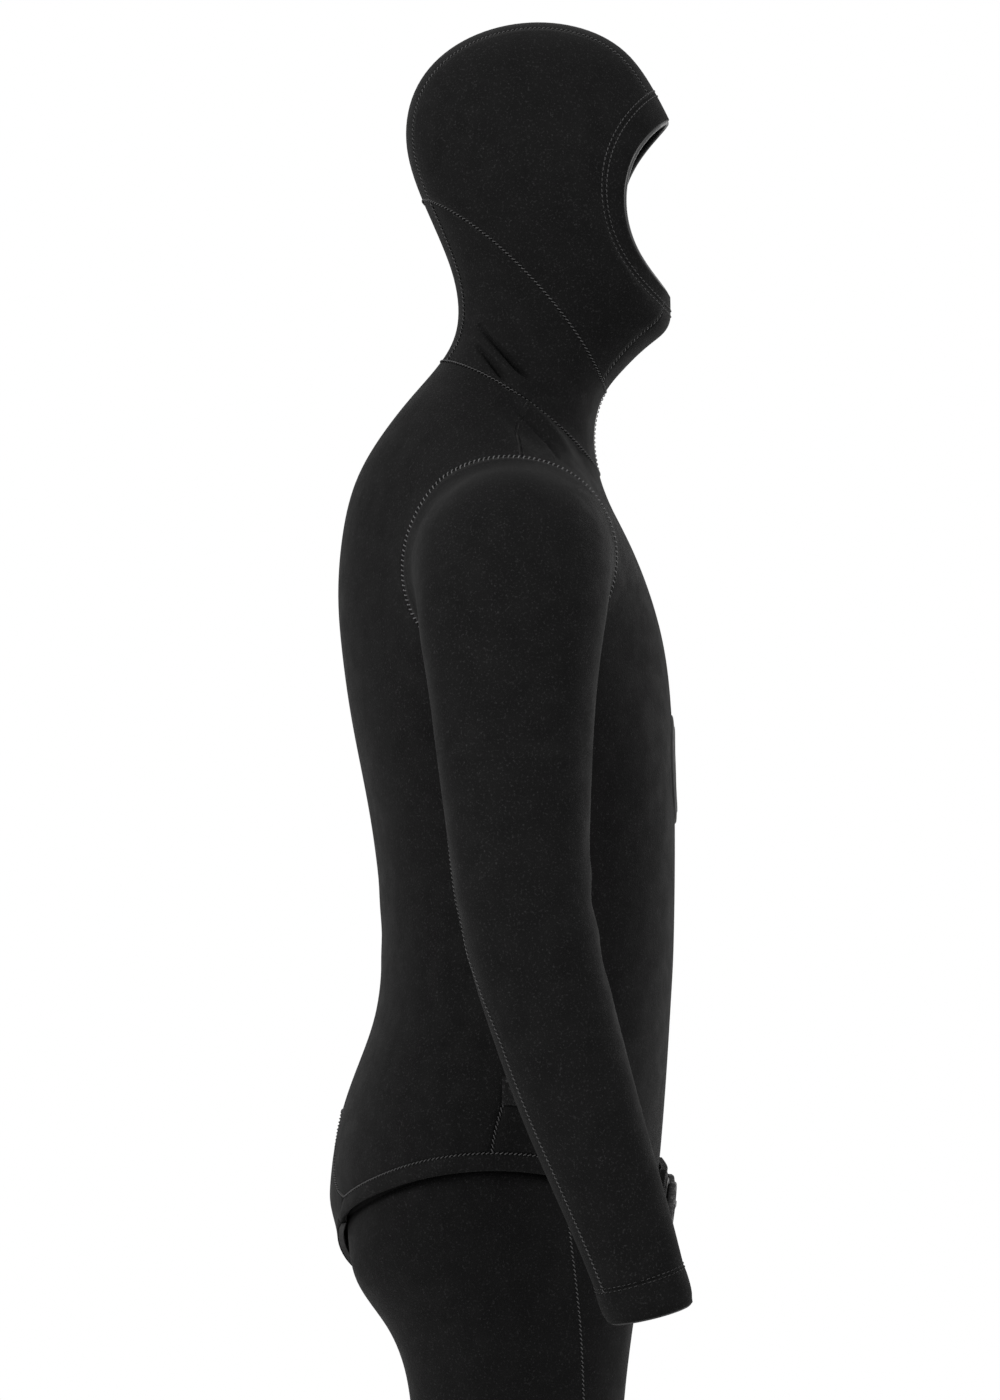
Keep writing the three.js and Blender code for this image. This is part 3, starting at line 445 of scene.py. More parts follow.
trunk_loops = {name: trunk_section(*ROWS[name]) for name in ROW_NAMES}
armholes = {"right": armhole_places(4, -1), "left": armhole_places(12, 1)}
for hand, places in armholes.items():
    for step, (row, column) in enumerate(places):
        point = armhole_point(2 * math.pi * step / COLUMNS)
        trunk_loops[row][column] = point if hand == "right" else mirrored([point])[0]
trunk = {name: add_loop(trunk_loops[name]) for name in ROW_NAMES}


def beside(column, middle):
    return column in (middle, (middle + COLUMNS - 1) % COLUMNS)


def skin_of(index, column):
    hand = "right" if column < COLUMNS // 2 else "left"

    def before(name):
        return index < ROW_NAMES.index(name)

    if before("hip") and beside(column, 8):
        return "beavertail_panel"
    if before("hem_top") and not beside(column, 0):
        return f"leg_hem_band_{hand}"
    if before("neck_seam"):
        return "jacket_front_panel" if column < 4 or column >= 12 else "jacket_back_panel"
    if before("hood_seam"):
        return "nape_strip" if beside(column, 8) else f"neck_panel_{hand}"
    if not before("seal_edge"):
        return "hood_face_seal"
    if beside(column, 8):
        return "hood_crown_strip"
    return "hood_chin_panel" if beside(column, 0) else f"hood_side_{hand}"


def under_of(index, column):
    if index >= ROW_NAMES.index("waistband_top"):
        return None
    if index >= ROW_NAMES.index("waistband"):
        return "pants_waistband"
    return "pants_front_panel" if column < 4 or column >= 12 else "pants_seat_panel"


for index in range(len(ROW_NAMES) - 1):
    row, after_row = ROW_NAMES[index], ROW_NAMES[index + 1]
    for column in range(COLUMNS):
        if row in ARMHOLE_ROWS[1:] and (2 <= column < 6 or 10 <= column < 14):
            continue
        after = (column + 1) % COLUMNS
        cage_faces.append((
            [trunk[row][after], trunk[row][column], trunk[after_row][column], trunk[after_row][after]],
            skin_of(index, column), under_of(index, column), "trunk",
            [(column + 1, index), (column, index), (column, index + 1), (column + 1, index + 1)],
        ))

strap = [
    add_loop([(x, edge_y if x else middle_y, LEG + height) for x in (-half, 0, half)])
    for half, middle_y, edge_y, height in STRAP
]
strap_rows = [
    [trunk["hem"][1], trunk["hem"][0], trunk["hem"][15]], *strap,
    [trunk["hem"][7], trunk["hem"][8], trunk["hem"][9]],
]
for index in range(len(strap_rows) - 1):
    row, after_row = strap_rows[index], strap_rows[index + 1]
    skin = "jacket_front_panel" if index < FOLD_STATION else "beavertail_panel"
    skin = None if index == FOLD_STATION else skin
    under = "pants_front_panel" if index < len(strap_rows) / 2 - 1 else "pants_seat_panel"
    for half in (0, 1):
        cage_faces.append((
            [row[half], after_row[half], after_row[half + 1], row[half + 1]], skin, under, "strap",
            [(half, index), (half, index + 1), (half + 1, index + 1), (half + 1, index)],
        ))


def add_tube(loops, turned, skin_name, under_name, region):
    for index in range(len(loops) - 1):
        loop, following = loops[index], loops[index + 1]
        for step in range(len(loop)):
            after = (step + 1) % len(loop)
            corners = [loop[step], loop[after], following[after], following[step]]
            places = [(step, index), (step + 1, index), (step + 1, index + 1), (step, index + 1)]
            if turned:
                corners.reverse()
                places.reverse()
            cage_faces.append((corners, skin_name(index), under_name(index), region, places))


def sleeve_panel(index):
    return "arm_upper" if index < 6 else "arm_lower" if index < 15 else "wrist_cuff"


def leg_panel(index):
    return "leg_upper" if index < 6 else "leg_lower" if index < 16 else "ankle_cuff"


def no_panel(index):
    return None


for hand, sign in HANDS:
    right = hand == "right"

    def own(loop):
        return add_loop(loop if right else mirrored(loop))

    armhole_loop = [trunk[row][column] for row, column in armholes[hand]]
    sleeve_loops = [own(limb_section(*section, COLUMNS, 0, -1)) for section in SLEEVES]
    sleeve_name = lambda index: f"{sleeve_panel(index)}_{hand}"
    add_tube([armhole_loop, *sleeve_loops], right, sleeve_name, no_panel, f"sleeve_{hand}")
    hem_columns = [column if right else COLUMNS - column for column in range(1, 8)]
    edge = 0 if right else 2
    hem_loop = [trunk["hem"][column] for column in hem_columns]
    hem_loop += [station[edge] for station in reversed(strap)]
    leg_loops = [own(limb_section(*section, LEG_COLUMNS, 3, 1)) for section in LEGS]
    leg_name = lambda index: f"{leg_panel(index)}_{hand}"
    add_tube([hem_loop, *leg_loops], not right, no_panel, leg_name, f"leg_{hand}")

# ---- The smooth surface ----


def smooth_surface():
    """The cage's limit surface: points, quads, and each quad's cage face and grid places."""
    mesh = bpy.data.meshes.new("cage")
    mesh.from_pydata([Vector(p) * 0.001 for p in cage_points], [], [face[0] for face in cage_faces])
    parent = mesh.attributes.new("cage_face", "INT", "FACE")
    parent.data.foreach_set("value", list(range(len(cage_faces))))
    layer = mesh.uv_layers.new(name="grid")
    for polygon in mesh.polygons:
        places = dict(zip(cage_faces[polygon.index][0], cage_faces[polygon.index][4]))
        for loop in polygon.loop_indices:
            layer.data[loop].uv = places[mesh.loops[loop].vertex_index]
    obj = bpy.data.objects.new("cage", mesh)
    bpy.context.collection.objects.link(obj)
    smoothing = obj.modifiers.new("smoothing", "SUBSURF")
    smoothing.levels = smoothing.render_levels = LEVELS
    smoothing.uv_smooth = "NONE"
    smoothing.boundary_smooth = "ALL"
    smoothing.use_limit_surface = True
    smoothing.quality = 6
    shown = obj.evaluated_get(bpy.context.evaluated_depsgraph_get()).to_mesh()
    points = np.array([v.co for v in shown.vertices])
    quads = np.array([list(p.vertices) for p in shown.polygons])
    owners = np.array([d.value for d in shown.attributes["cage_face"].data])
    places = np.array([d.uv for d in shown.uv_layers["grid"].data]).reshape(-1, 4, 2)
    obj.to_mesh_clear()
    bpy.data.objects.remove(obj)
    bpy.data.meshes.remove(mesh)
    return points, quads, owners, places


points, quads, owners, places = smooth_surface()
SKIN_OF = np.array([face[1] or "" for face in cage_faces])[owners]
UNDER_OF = np.array([face[2] or "" for face in cage_faces])[owners]
REGION_OF = np.array([face[3] for face in cage_faces])[owners]


def vertex_normals(at, chosen):
    a, b, c, d = (at[chosen[:, k]] for k in range(4))
    normal = np.cross(c - a, d - b)
    total = np.zeros_like(at)
    for k in range(4):
        np.add.at(total, chosen[:, k], normal)
    return total / np.maximum(np.linalg.norm(total, axis=1), 1e-12)[:, None]


def grid_of(region):
    """The vertex at each place of a region's grid, or -1 where there is none."""
    chosen = np.nonzero(REGION_OF == region)[0]
    spots = np.rint(places[chosen] * STEPS).astype(int)
    grid = -np.ones((spots[..., 1].max() + 1, spots[..., 0].max() + 1), int)
    grid[spots[..., 1], spots[..., 0]] = quads[chosen]
    return grid


def on_grid(region, at, row, column):
    """The place on a region's surface at a row and column of its cage, which need not be whole."""
    grid = GRIDS[region]
    row, column = row * STEPS, (column * STEPS) % (grid.shape[1] - 1)
    r, c = min(int(row), len(grid) - 2), int(column)
    (a, b), (d, e) = at[grid[r, c:c + 2]], at[grid[r + 1, c:c + 2]]
    u, v = column - c, row - r
    return (a * (1 - u) + b * u) * (1 - v) + (d * (1 - u) + e * u) * v


GRIDS = {name: grid_of(name) for name in sorted(set(REGION_OF))}
jacket_quads = quads[SKIN_OF != ""]
pants_quads = quads[UNDER_OF != ""]
jacket_base, flat_normals = points.copy(), vertex_normals(points, quads)

# Two seams lie elsewhere on the surface than their cage lines, so the places near them slide along it: the
# hem's seam is lower, and the beavertail's side seams slant in towards its top.
SLANT = ((0, 1, 2, 3), (0, -0.3, 0.85, 0))


def slid(line, column):
    row, across = line / STEPS, column / STEPS
    toward = float(np.interp(row, *SLANT))
    across += toward * (max(0, 1 - abs(across - 7)) - max(0, 1 - abs(across - 9)))
    low = line - 3.8 * math.sin(math.pi * line / (2 * STEPS)) if line < 2 * STEPS else line
    return low / STEPS, across


for line in range(1, 3 * STEPS):
    for column in range(COLUMNS * STEPS):
        vert = GRIDS["trunk"][line, column]
        points[vert] = on_grid("trunk", jacket_base, *slid(line, column))
base_normals = vertex_normals(points, quads)

# ---- Folds, hems and other shaping of the smooth surface ----


def boundary_edges(faces):
    """Each edge used by only one face, in that face's direction."""
    found = {}
    for face in faces:
        for a, b in zip(face, np.roll(face, -1)):
            key = (min(a, b), max(a, b))
            found[key] = None if key in found else (a, b)
    return [edge for edge in found.values() if edge]


def chains(edges):
    """Joins edges end to end into paths of vertices. A closed path ends where it began."""
    near = {}
    for a, b in edges:
        near.setdefault(a, []).append(b)
        near.setdefault(b, []).append(a)
    left = {(min(e), max(e)) for e in edges}

    def ways(vert):
        return [n for n in near[vert] if (min(vert, n), max(vert, n)) in left]

    found = []
    while left:
        ends = [vert for edge in sorted(left) for vert in edge if len(ways(vert)) == 1]
        path = [ends[0] if ends else min(left)[0]]
        while ways(path[-1]):
            following = ways(path[-1])[0]
            left.discard((min(path[-1], following), max(path[-1], following)))
            path.append(following)
        found.append(path)
    return found


def seam_between(labels, first, second, below=math.inf):
    """The vertex paths, lower than below, where panels named first... meet those named second..."""
    owner = {}
    shared = []
    for quad, label in zip(quads, labels):
        if not label.startswith((first, second)):
            continue
        for a, b in zip(quad, np.roll(quad, -1)):
            key = (int(min(a, b)), int(max(a, b)))
            other = owner.setdefault(key, label)
            meets = other != label and {other.startswith(first), label.startswith(first)} == {True, False}
            if meets and points[a, 2] < below and points[b, 2] < below:
                shared.append(key)
    return chains(shared)


def bell(distance, width):
    return np.exp(-((distance / width) ** 2))


def polyline_distance(at, path):
    """Each point's distance to a path in the plane, and how far along the path that is, from 0 to 1."""
    best = np.full(len(at), 1e9)
    along = np.zeros(len(at))
    lengths = [math.dist(a, b) for a, b in zip(path, path[1:])]
    done = 0.0
    for (a, b), length in zip(zip(path, path[1:]), lengths):
        a, step = np.array(a), np.array(b) - np.array(a)
        share = np.clip(((at - a) @ step) / (length * length), 0, 1)
        distance = np.linalg.norm(at - a - share[:, None] * step, axis=1)
        closer = distance < best
        best[closer] = distance[closer]
        along[closer] = (done + share[closer] * length) / sum(lengths)
        done += length
    return best, along


def crease(push, path, height, width, where):
    """Adds a ridge, or a furrow if height is negative, along a path of (y, z) on both sides, in millimetres.
    It fades out at both ends."""
    at = points[:, 1:] * 1000
    distance, along = polyline_distance(at, path)
    fade = np.clip(np.sin(math.pi * np.clip(along, 0.02, 0.98)), 0, 1) ** 0.7
    push += where * height * fade * bell(distance, width)


used = {name: np.zeros(len(points), bool) for name in set(SKIN_OF) | set(UNDER_OF)}
for name in used:
    used[name][np.unique(quads[(SKIN_OF == name) | (UNDER_OF == name)])] = True
body = used["jacket_front_panel"] | used["jacket_back_panel"]
sleeves = np.zeros(len(points), bool)
for name in used:
    if name.startswith(("arm_", "wrist_")):
        sleeves |= used[name]

# Folds of the neck and of the body under its seam: kind, path, height and width.
FOLDS = [
    ("neck", [(22, 1511), (16, 1503), (8, 1493), (1, 1485), (-6, 1477), (-18, 1466)], -7.5, 1.9),
    ("neck", [(30, 1502), (14, 1490), (3, 1478), (-8, 1468), (-22, 1455)], 2.6, 4.2),
    ("neck", [(23, 1494), (19, 1489), (13, 1481), (6, 1472), (0, 1466)], -6.5, 1.8),
    ("neck", [(26, 1518), (19, 1510), (9, 1499), (-3, 1487), (-14, 1476)], 2.2, 3.6),
    ("neck", [(2, 1512), (-14, 1490), (-26, 1470), (-38, 1450)], -1.6, 4.5),
    ("neck", [(-4, 1520), (-22, 1494), (-38, 1466), (-50, 1440)], 1.4, 7.0),
    ("body", [(-2, 1458), (-14, 1447), (-27, 1435), (-39, 1421), (-50, 1404)], 3.2, 4.0),
    ("body", [(0, 1455), (-9, 1444), (-20, 1433), (-31, 1420), (-38, 1404)], -3.4, 1.9),
    ("body", [(8, 1452), (-6, 1436), (-18, 1424), (-28, 1410)], -4.0, 7.5),
    ("body", [(-42, 1440), (-52, 1420), (-62, 1396), (-70, 1366)], -1.6, 4.0),
]


def fold_heights(at, kind):
    """How far the folds push each place on a kind of panel out, in metres. They fade out at their ends."""
    side = np.clip((np.abs(at[:, 0]) - 0.025) / 0.025, 0, 1)
    total = np.zeros(len(at))
    for where, path, height, width in FOLDS:
        if where == kind:
            distance, along = polyline_distance(at[:, 1:] * 1000, path)
            fade = np.clip(np.sin(math.pi * np.clip(along, 0, 1)), 0, 1) ** 0.6
            total += side * height * fade * bell(distance, width)
    return total / 1000


push = np.zeros(len(points))
# Soft folds in the bend of the elbow, behind it, under the arm and at the waist.
for drop, height in ((-34, 1.1), (-12, -1.5), (10, 1.3), (32, -1.1), (52, 0.7)):
    path = [(-75, ELBOW - drop + 6), (-45, ELBOW - drop), (-16, ELBOW - drop - 16)]
    crease(push, path, height, 8, sleeves)
for drop, height in ((-20, 0.7), (2, -0.9), (24, 0.6)):
    crease(push, [(40, ELBOW - drop), (16, ELBOW - drop + 6), (-4, ELBOW - drop + 18)], height, 9, sleeves)
for share, height in ((0.42, 0.9), (0.45, -1.2), (0.485, 1.0), (0.52, -0.7)):
    z = on_trunk(share)
    crease(push, [(104, z), (60, z - 6), (10, z - 22), (-20, z - 40)], height, 9, body)
shaped = points + base_normals * (push / 1000)[:, None]


def set_rows(region, low, high, profile):
    """Pushes a region's vertices out by profile(share) millimetres between two of its rows."""
    grid = GRIDS[region]
    for line in range(int(low * STEPS), int(high * STEPS) + 1):
        if line < len(grid):
            line_points = np.unique(grid[line][grid[line] >= 0])
            height = profile((line / STEPS - low) / (high - low))
            shaped[line_points] += base_normals[line_points] * height / 1000


def cuff_profile(swelling, roll):
    """A folded hem that swells a little and rolls in at its edge."""
    return lambda t: swelling * math.sin(math.pi * min(1, 1.15 * t)) ** 0.6 - roll * t**6


for hand, _ in HANDS:
    set_rows(f"sleeve_{hand}", 15, 16, cuff_profile(1.0, 0.9))
    set_rows(f"leg_{hand}", 16, 17, cuff_profile(0.9, 0.8))
jacket_points = shaped.copy()
band = np.zeros(len(points), bool)
for hand, _ in HANDS:
    band |= used[f"leg_hem_band_{hand}"]
hem_line = GRIDS["trunk"]
for line in range(0, STEPS + 1):
    ring = [v for v in hem_line[line] if v >= 0 and band[v]]
    share = line / STEPS
    swelling = 1.5 * math.sin(math.pi * min(1, 0.12 + 0.9 * share)) ** 0.7 - 1.2 * (1 - share) ** 5
    ring = np.unique(ring)
    jacket_points[ring] += base_normals[ring] * swelling / 1000

suit_surface = BVHTree.FromPolygons([Vector(p) for p in points], [list(map(int, q)) for q in quads])


def ease(rim, strength, times, pull=None, reach=0.022):
    """Smooths a seam or rim over the surface, as strongly at each place as strength says, and takes the
    places near it along. pull adds a shift of its own."""
    line = points[rim].copy()
    for _ in range(times):
        middle = (np.roll(line, 1, axis=0) + np.roll(line, -1, axis=0)) / 2
        line += (middle - line) * 0.5 * strength[:, None]
    shift = line - points[rim]
    if pull is not None:
        shift += pull
    kept = strength > 0.01
    spots, shift = points[rim][kept], shift[kept]
    for vert in np.unique(jacket_quads):
        if np.min(np.abs(spots - points[vert]).max(1)) >= 3 * reach:
            continue
        away = np.linalg.norm(spots - points[vert], axis=1)
        weight = bell(away, max(0.004, 0.6 * away.min()))
        moved = points[vert] + (shift * weight[:, None]).sum(0) / weight.sum() * bell(away.min(), reach)
        seat = np.array(suit_surface.find_nearest(Vector(moved))[0])
        jacket_points[vert] += seat - points[vert]


# The leg openings' back corners are rounded, and the armholes are evened out and moved forward behind.
jacket_rims = chains([tuple(map(int, edge)) for edge in boundary_edges(jacket_quads)])
for column in (7, 9):
    corner = GRIDS["trunk"][0, column * STEPS]
    rim = np.array(next(path for path in jacket_rims if corner in path))
    nearness = bell(np.linalg.norm(points[rim] - points[corner], axis=1), 0.06)
    nearness[[0, -1]] = 0
    ease(rim, nearness, 90)
for hand, _ in HANDS:
    (rim,) = seam_between(SKIN_OF, f"arm_upper_{hand}", "jacket_")
    rim = np.array(rim[:-1])
    behind = np.clip((points[rim, 1] * 1000 - 6) / 55, 0, 1)
    lower = np.clip((on_trunk(1.0) - points[rim, 2] * 1000) / 40, 0, 1)
    ease(rim, np.ones(len(rim)), 40, np.outer(behind * lower, (0, -0.013, 0)), 0.026)
jacket_normals = vertex_normals(jacket_points, jacket_quads)
pants_points = shaped - base_normals * (WALL + LAYER_GAP) / 1000
ankles = used["ankle_cuff_right"] | used["ankle_cuff_left"]
pants_points[ankles, 2] = np.maximum(pants_points[ankles, 2], 0)
pants_normals = vertex_normals(pants_points, pants_quads)

# ---- Panels ----


def make_object(name, vertices, faces, materials, indices=None):
    mesh = bpy.data.meshes.new(name)
    mesh.from_pydata([tuple(v) for v in vertices], [], [tuple(f) for f in faces])
    for entry in materials:
        mesh.materials.append(entry)
    if indices is not None:
        mesh.polygons.foreach_set("material_index", indices)
    mesh.polygons.foreach_set("use_smooth", [True] * len(mesh.polygons))
    mesh.validate()
    mesh.update()
    obj = bpy.data.objects.new(name, mesh)
    bpy.context.collection.objects.link(obj)
    return obj


RIM_DRAW_IN = 1.6  # how much thinner a panel gets at its rim, as a multiple of how far its face rolls in


def quad_rows(faces):
    """Each quad as one value, so that quads can be looked up in a list of them."""
    return faces.view([("", faces.dtype)] * 4).ravel()


def thick_panel(
    name, at, normals, chosen, layer_quads, wall, materials,
    butt=0.0011, hem=0.0009, ring=0.0016, joined=(), folds=None,
):
    """Cuts the chosen quads out as a panel with the fabric's thickness. Where it meets another panel its
    edge is rolled in by butt, so that two panels leave a groove, and an open edge is rounded by hem. The
    outermost ring of the panel is that wide. Where it meets the joined quads no groove shows. folds names
    the FOLDS that it has."""
    used_here, local = np.unique(chosen, return_inverse=True)
    local = local.reshape(chosen.shape)
    others = layer_quads[~np.isin(quad_rows(layer_quads), quad_rows(chosen))]
    neighbours = set(np.unique(others))
    unbroken = set(np.unique(joined)) if len(joined) else set()
    bm = bmesh.new()
    out = bm.verts.layers.float_vector.new("out")
    roll = bm.verts.layers.float.new("roll")
    for index in used_here:
        vert = bm.verts.new(at[index])
        vert[out] = normals[index]
        vert[roll] = 0 if index in unbroken else butt if index in neighbours else hem
    bm.verts.ensure_lookup_table()
    for face in local:
        bm.faces.new([bm.verts[k] for k in face])
    if folds:
        upper = [e for e in bm.edges if min(v.co.z for v in e.verts) > FINE_FROM]
        bmesh.ops.subdivide_edges(bm, edges=upper, cuts=2, use_grid_fill=True)
        bm.normal_update()
        heights = fold_heights(np.array([v.co for v in bm.verts]), folds)
        for vert, height in zip(bm.verts, heights):
            vert.co += (vert[out].normalized() if vert.is_boundary else vert.normal) * height
        bm.normal_update()
        for vert in bm.verts:
            if not vert.is_boundary:
                vert[out] = vert.normal
    bmesh.ops.inset_region(bm, faces=bm.faces[:], thickness=ring, use_boundary=True, use_even_offset=True)
    edge_verts = {v for e in bm.edges if e.is_boundary for v in e.verts}
    for vert in edge_verts:
        vert.co -= Vector(vert[out]) * vert[roll]
    bm.verts.index_update()
    outer = np.array([v.co for v in bm.verts])
    facing = np.array([v[out] for v in bm.verts])
    facing /= np.maximum(np.linalg.norm(facing, axis=1), 1e-9)[:, None]
    faces = [[v.index for v in f.verts] for f in bm.faces]
    rims, hidden_rims = [], set()
    for e in bm.edges:
        if e.is_boundary:
            loop = e.link_loops[0]
            rims.append((loop.vert.index, loop.link_loop_next.vert.index))
            if max(v[roll] for v in e.verts) == 0:
                hidden_rims.add(frozenset(rims[-1]))
    depth = np.full(len(outer), wall / 1000)
    for vert in edge_verts:
        depth[vert.index] -= vert[roll] * RIM_DRAW_IN
    bm.free()
    count = len(outer)
    inner = outer - facing * depth[:, None]
    all_faces = faces + [[count + k for k in reversed(f)] for f in faces]
    indices = [0] * len(faces) + [1] * len(faces)
    for a, b in rims:
        all_faces.append([b, a, count + a, count + b])
        indices.append(2)
    obj = make_object(name, np.vstack([outer, inner]), all_faces, materials, indices)
    for edge in obj.data.edges:
        if frozenset(edge.vertices) in hidden_rims:
            edge.use_edge_sharp = True
    return obj


def jacket_panel(name, label, wall=WALL, materials=(JACKET, LINING, FOAM), **kwargs):
    if "joined" in kwargs:
        other = quads[SKIN_OF == kwargs["joined"]]
        kwargs["joined"] = other[points[other].mean(1)[:, 2] > kwargs.pop("above", 0)]
    surface = (jacket_points, jacket_normals, quads[SKIN_OF == label], jacket_quads)
    return thick_panel(name, *surface, wall, materials, **kwargs)


def pants_panel(name, label, **kwargs):
    if "joined" in kwargs:
        kwargs["joined"] = quads[np.isin(UNDER_OF, kwargs["joined"])]
    surface = (pants_points, pants_normals, quads[UNDER_OF == label], pants_quads)
    return thick_panel(name, *surface, WALL, [PANTS, LINING, FOAM], **kwargs)


def finish_piece(obj, body=None, replaces=()):
    if body:
        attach(obj, body)
    else:
        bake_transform(obj)
    if replaces:
        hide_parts(*replaces)


FINE_FROM, SHOULDER_TOP = 1.35, 1.3


def in_metres(*place):
    return tuple(value / 1000 for value in place)


NECK_BLEND = ("torso", "hood", in_metres(0, -8.6, 1452.7), in_metres(0, -40.2, 1488.6))
BLENDS = {}
for hand, sign in HANDS:
    for limb, parent, child, start, end in (
        ("arm_upper", "torso", f"upper_arm_{hand}", (200, 0, 1331), (246.3, 0, 1303.2)),
        ("arm_lower", f"upper_arm_{hand}", f"forearm_{hand}", (240, -7, 1135), (263, -31, 1003)),
        ("leg_upper", "torso", f"thigh_{hand}", (95, 0, 764), (95, 0, 630)),
        ("leg_lower", f"thigh_{hand}", f"shin_{hand}", (97, 0, 528), (97, 0, 372)),
    ):
        ends = [in_metres(sign * x, y, z) for x, y, z in (start, end)]
        BLENDS[f"{limb}_{hand}"] = (parent, child, *ends)

CUFF_HEM = 0.0016
LIMB_NODES = {
    "arm_upper": ("shoulder_cap", "upper_sleeve"),
    "arm_lower": ("elbow_panel", "forearm_sleeve"),
    "leg_upper": ("hip_panel", "thigh_panel"),
    "leg_lower": ("knee_panel", "shin_panel"),
}

for label, other in (("front", "back"), ("back", "front")):
    panel = jacket_panel(f"jacket_{label}_fabric", f"jacket_{label}_panel", joined=f"jacket_{other}_panel",
                         above=SHOULDER_TOP, folds="body")
    finish_piece(panel, "torso", replaces=[f"jacket_{label}_panel"])
finish_piece(jacket_panel("beavertail_fabric", "beavertail_panel"), "torso",
             replaces=["beavertail_panel"])
for label in ("neck_panel_right", "neck_panel_left", "nape_strip"):
    finish_piece(jacket_panel(f"{label}_fabric", label, folds="neck"),
                 replaces=[label])
for label in ("hood_chin_panel", "hood_side_right", "hood_side_left", "hood_crown_strip"):
    finish_piece(jacket_panel(f"{label}_fabric", label), "hood", replaces=[label])
seal = jacket_panel("hood_face_seal_skin", "hood_face_seal", 3, (JACKET, SKIN, SKIN), hem=0.0012, butt=0.0007)
finish_piece(seal, "hood", replaces=["hood_face_seal"])
for label in ("pants_front_panel", "pants_seat_panel", "pants_waistband"):
    legs = ["leg_upper_right", "leg_upper_left"]
    panel = pants_panel(f"{label}_fabric", label, joined=legs)
    finish_piece(panel, "torso", replaces=[label])
for hand, sign in HANDS:
    binding = jacket_panel(f"leg_hem_binding_{hand}", f"leg_hem_band_{hand}",
                           materials=(BINDING, LINING, BINDING), hem=0.0018)
    finish_piece(binding, "torso", replaces=[f"leg_hem_band_{hand}"])
    for limb, other in (("arm_upper", "arm_lower"), ("arm_lower", "arm_upper")):
        panel = jacket_panel(f"{limb}_fabric_{hand}", f"{limb}_{hand}", joined=f"{other}_{hand}")
        nodes = [f"{node}_{hand}" for node in LIMB_NODES[limb]]
        finish_piece(panel, replaces=nodes)
    cuff = jacket_panel(f"wrist_cuff_fabric_{hand}", f"wrist_cuff_{hand}", hem=CUFF_HEM)
    finish_piece(cuff, f"forearm_{hand}", replaces=[f"wrist_cuff_{hand}"])
    beside = {"leg_upper": [f"leg_lower_{hand}", "pants_front_panel", "pants_seat_panel"],
              "leg_lower": [f"leg_upper_{hand}"]}
    for limb, joined in beside.items():
        panel = pants_panel(f"{limb}_fabric_{hand}", f"{limb}_{hand}", joined=joined)
        nodes = [f"{node}_{hand}" for node in LIMB_NODES[limb]]
        finish_piece(panel, replaces=nodes)
    cuff = pants_panel(f"ankle_cuff_fabric_{hand}", f"ankle_cuff_{hand}", hem=CUFF_HEM)
    finish_piece(cuff, f"shin_{hand}", replaces=[f"ankle_cuff_{hand}"])

# ---- Stitches ----


def resampled(at, normals, pitch):
    """Places at even steps of pitch along a path, with their normals and directions."""
    steps = np.linalg.norm(np.diff(at, axis=0), axis=1)
    run = np.concatenate([[0], np.cumsum(steps)])
    spots = np.arange(pitch / 2, run[-1], pitch)
    place = np.stack([np.interp(spots, run, at[:, k]) for k in range(3)], 1)
    out = np.stack([np.interp(spots, run, normals[:, k]) for k in range(3)], 1)
    out /= np.linalg.norm(out, axis=1)[:, None]
    place_at = lambda where: np.stack([np.interp(where, run, at[:, k]) for k in range(3)], 1)
    ahead = place_at(spots + 0.001) - place_at(spots - 0.001)
    ahead -= out * np.sum(ahead * out, axis=1)[:, None]
    return place, out, ahead / np.maximum(np.linalg.norm(ahead, axis=1), 1e-9)[:, None]


RINGS, SIDES = 5, 5


def stitch_mesh(at, normals, pitch, half, radius, angles, shift=0.0, lift=0.0004):
    """Short lengths of thread laid on a path, each bowed over the fabric and sunk at its ends. angles are
    their turns away from the path, used one after another."""
    place, out, ahead = resampled(at, normals, pitch)
    side = np.cross(out, ahead)
    place = place + side * shift
    turn = np.radians(np.array([angles[k % len(angles)] for k in range(len(place))]))[:, None]
    way = ahead * np.cos(turn) + side * np.sin(turn)
    across = np.cross(out, way)
    vertices = []
    for ring in range(RINGS):
        t = 2 * ring / (RINGS - 1) - 1
        middle = place + way * half * t + out * (lift * (1 - t * t) - radius * 1.4 * t**4)
        for k in range(SIDES):
            angle = 2 * math.pi * k / SIDES
            vertices.append(middle + (across * math.cos(angle) + out * math.sin(angle)) * radius)
    count = len(place)
    grid = np.arange(RINGS * SIDES * count).reshape(RINGS, SIDES, count)
    faces = []
    for ring in range(RINGS - 1):
        for k in range(SIDES):
            after = (k + 1) % SIDES
            faces.append(np.stack([grid[ring, k], grid[ring, after], grid[ring + 1, after],
                                   grid[ring + 1, k]], 1))
    return np.concatenate(vertices), np.concatenate(faces)


SURFACES = {
    "neoprene": (SKIN_OF, jacket_points, jacket_normals),
    "pants_neoprene": (UNDER_OF, pants_points, pants_normals),
}


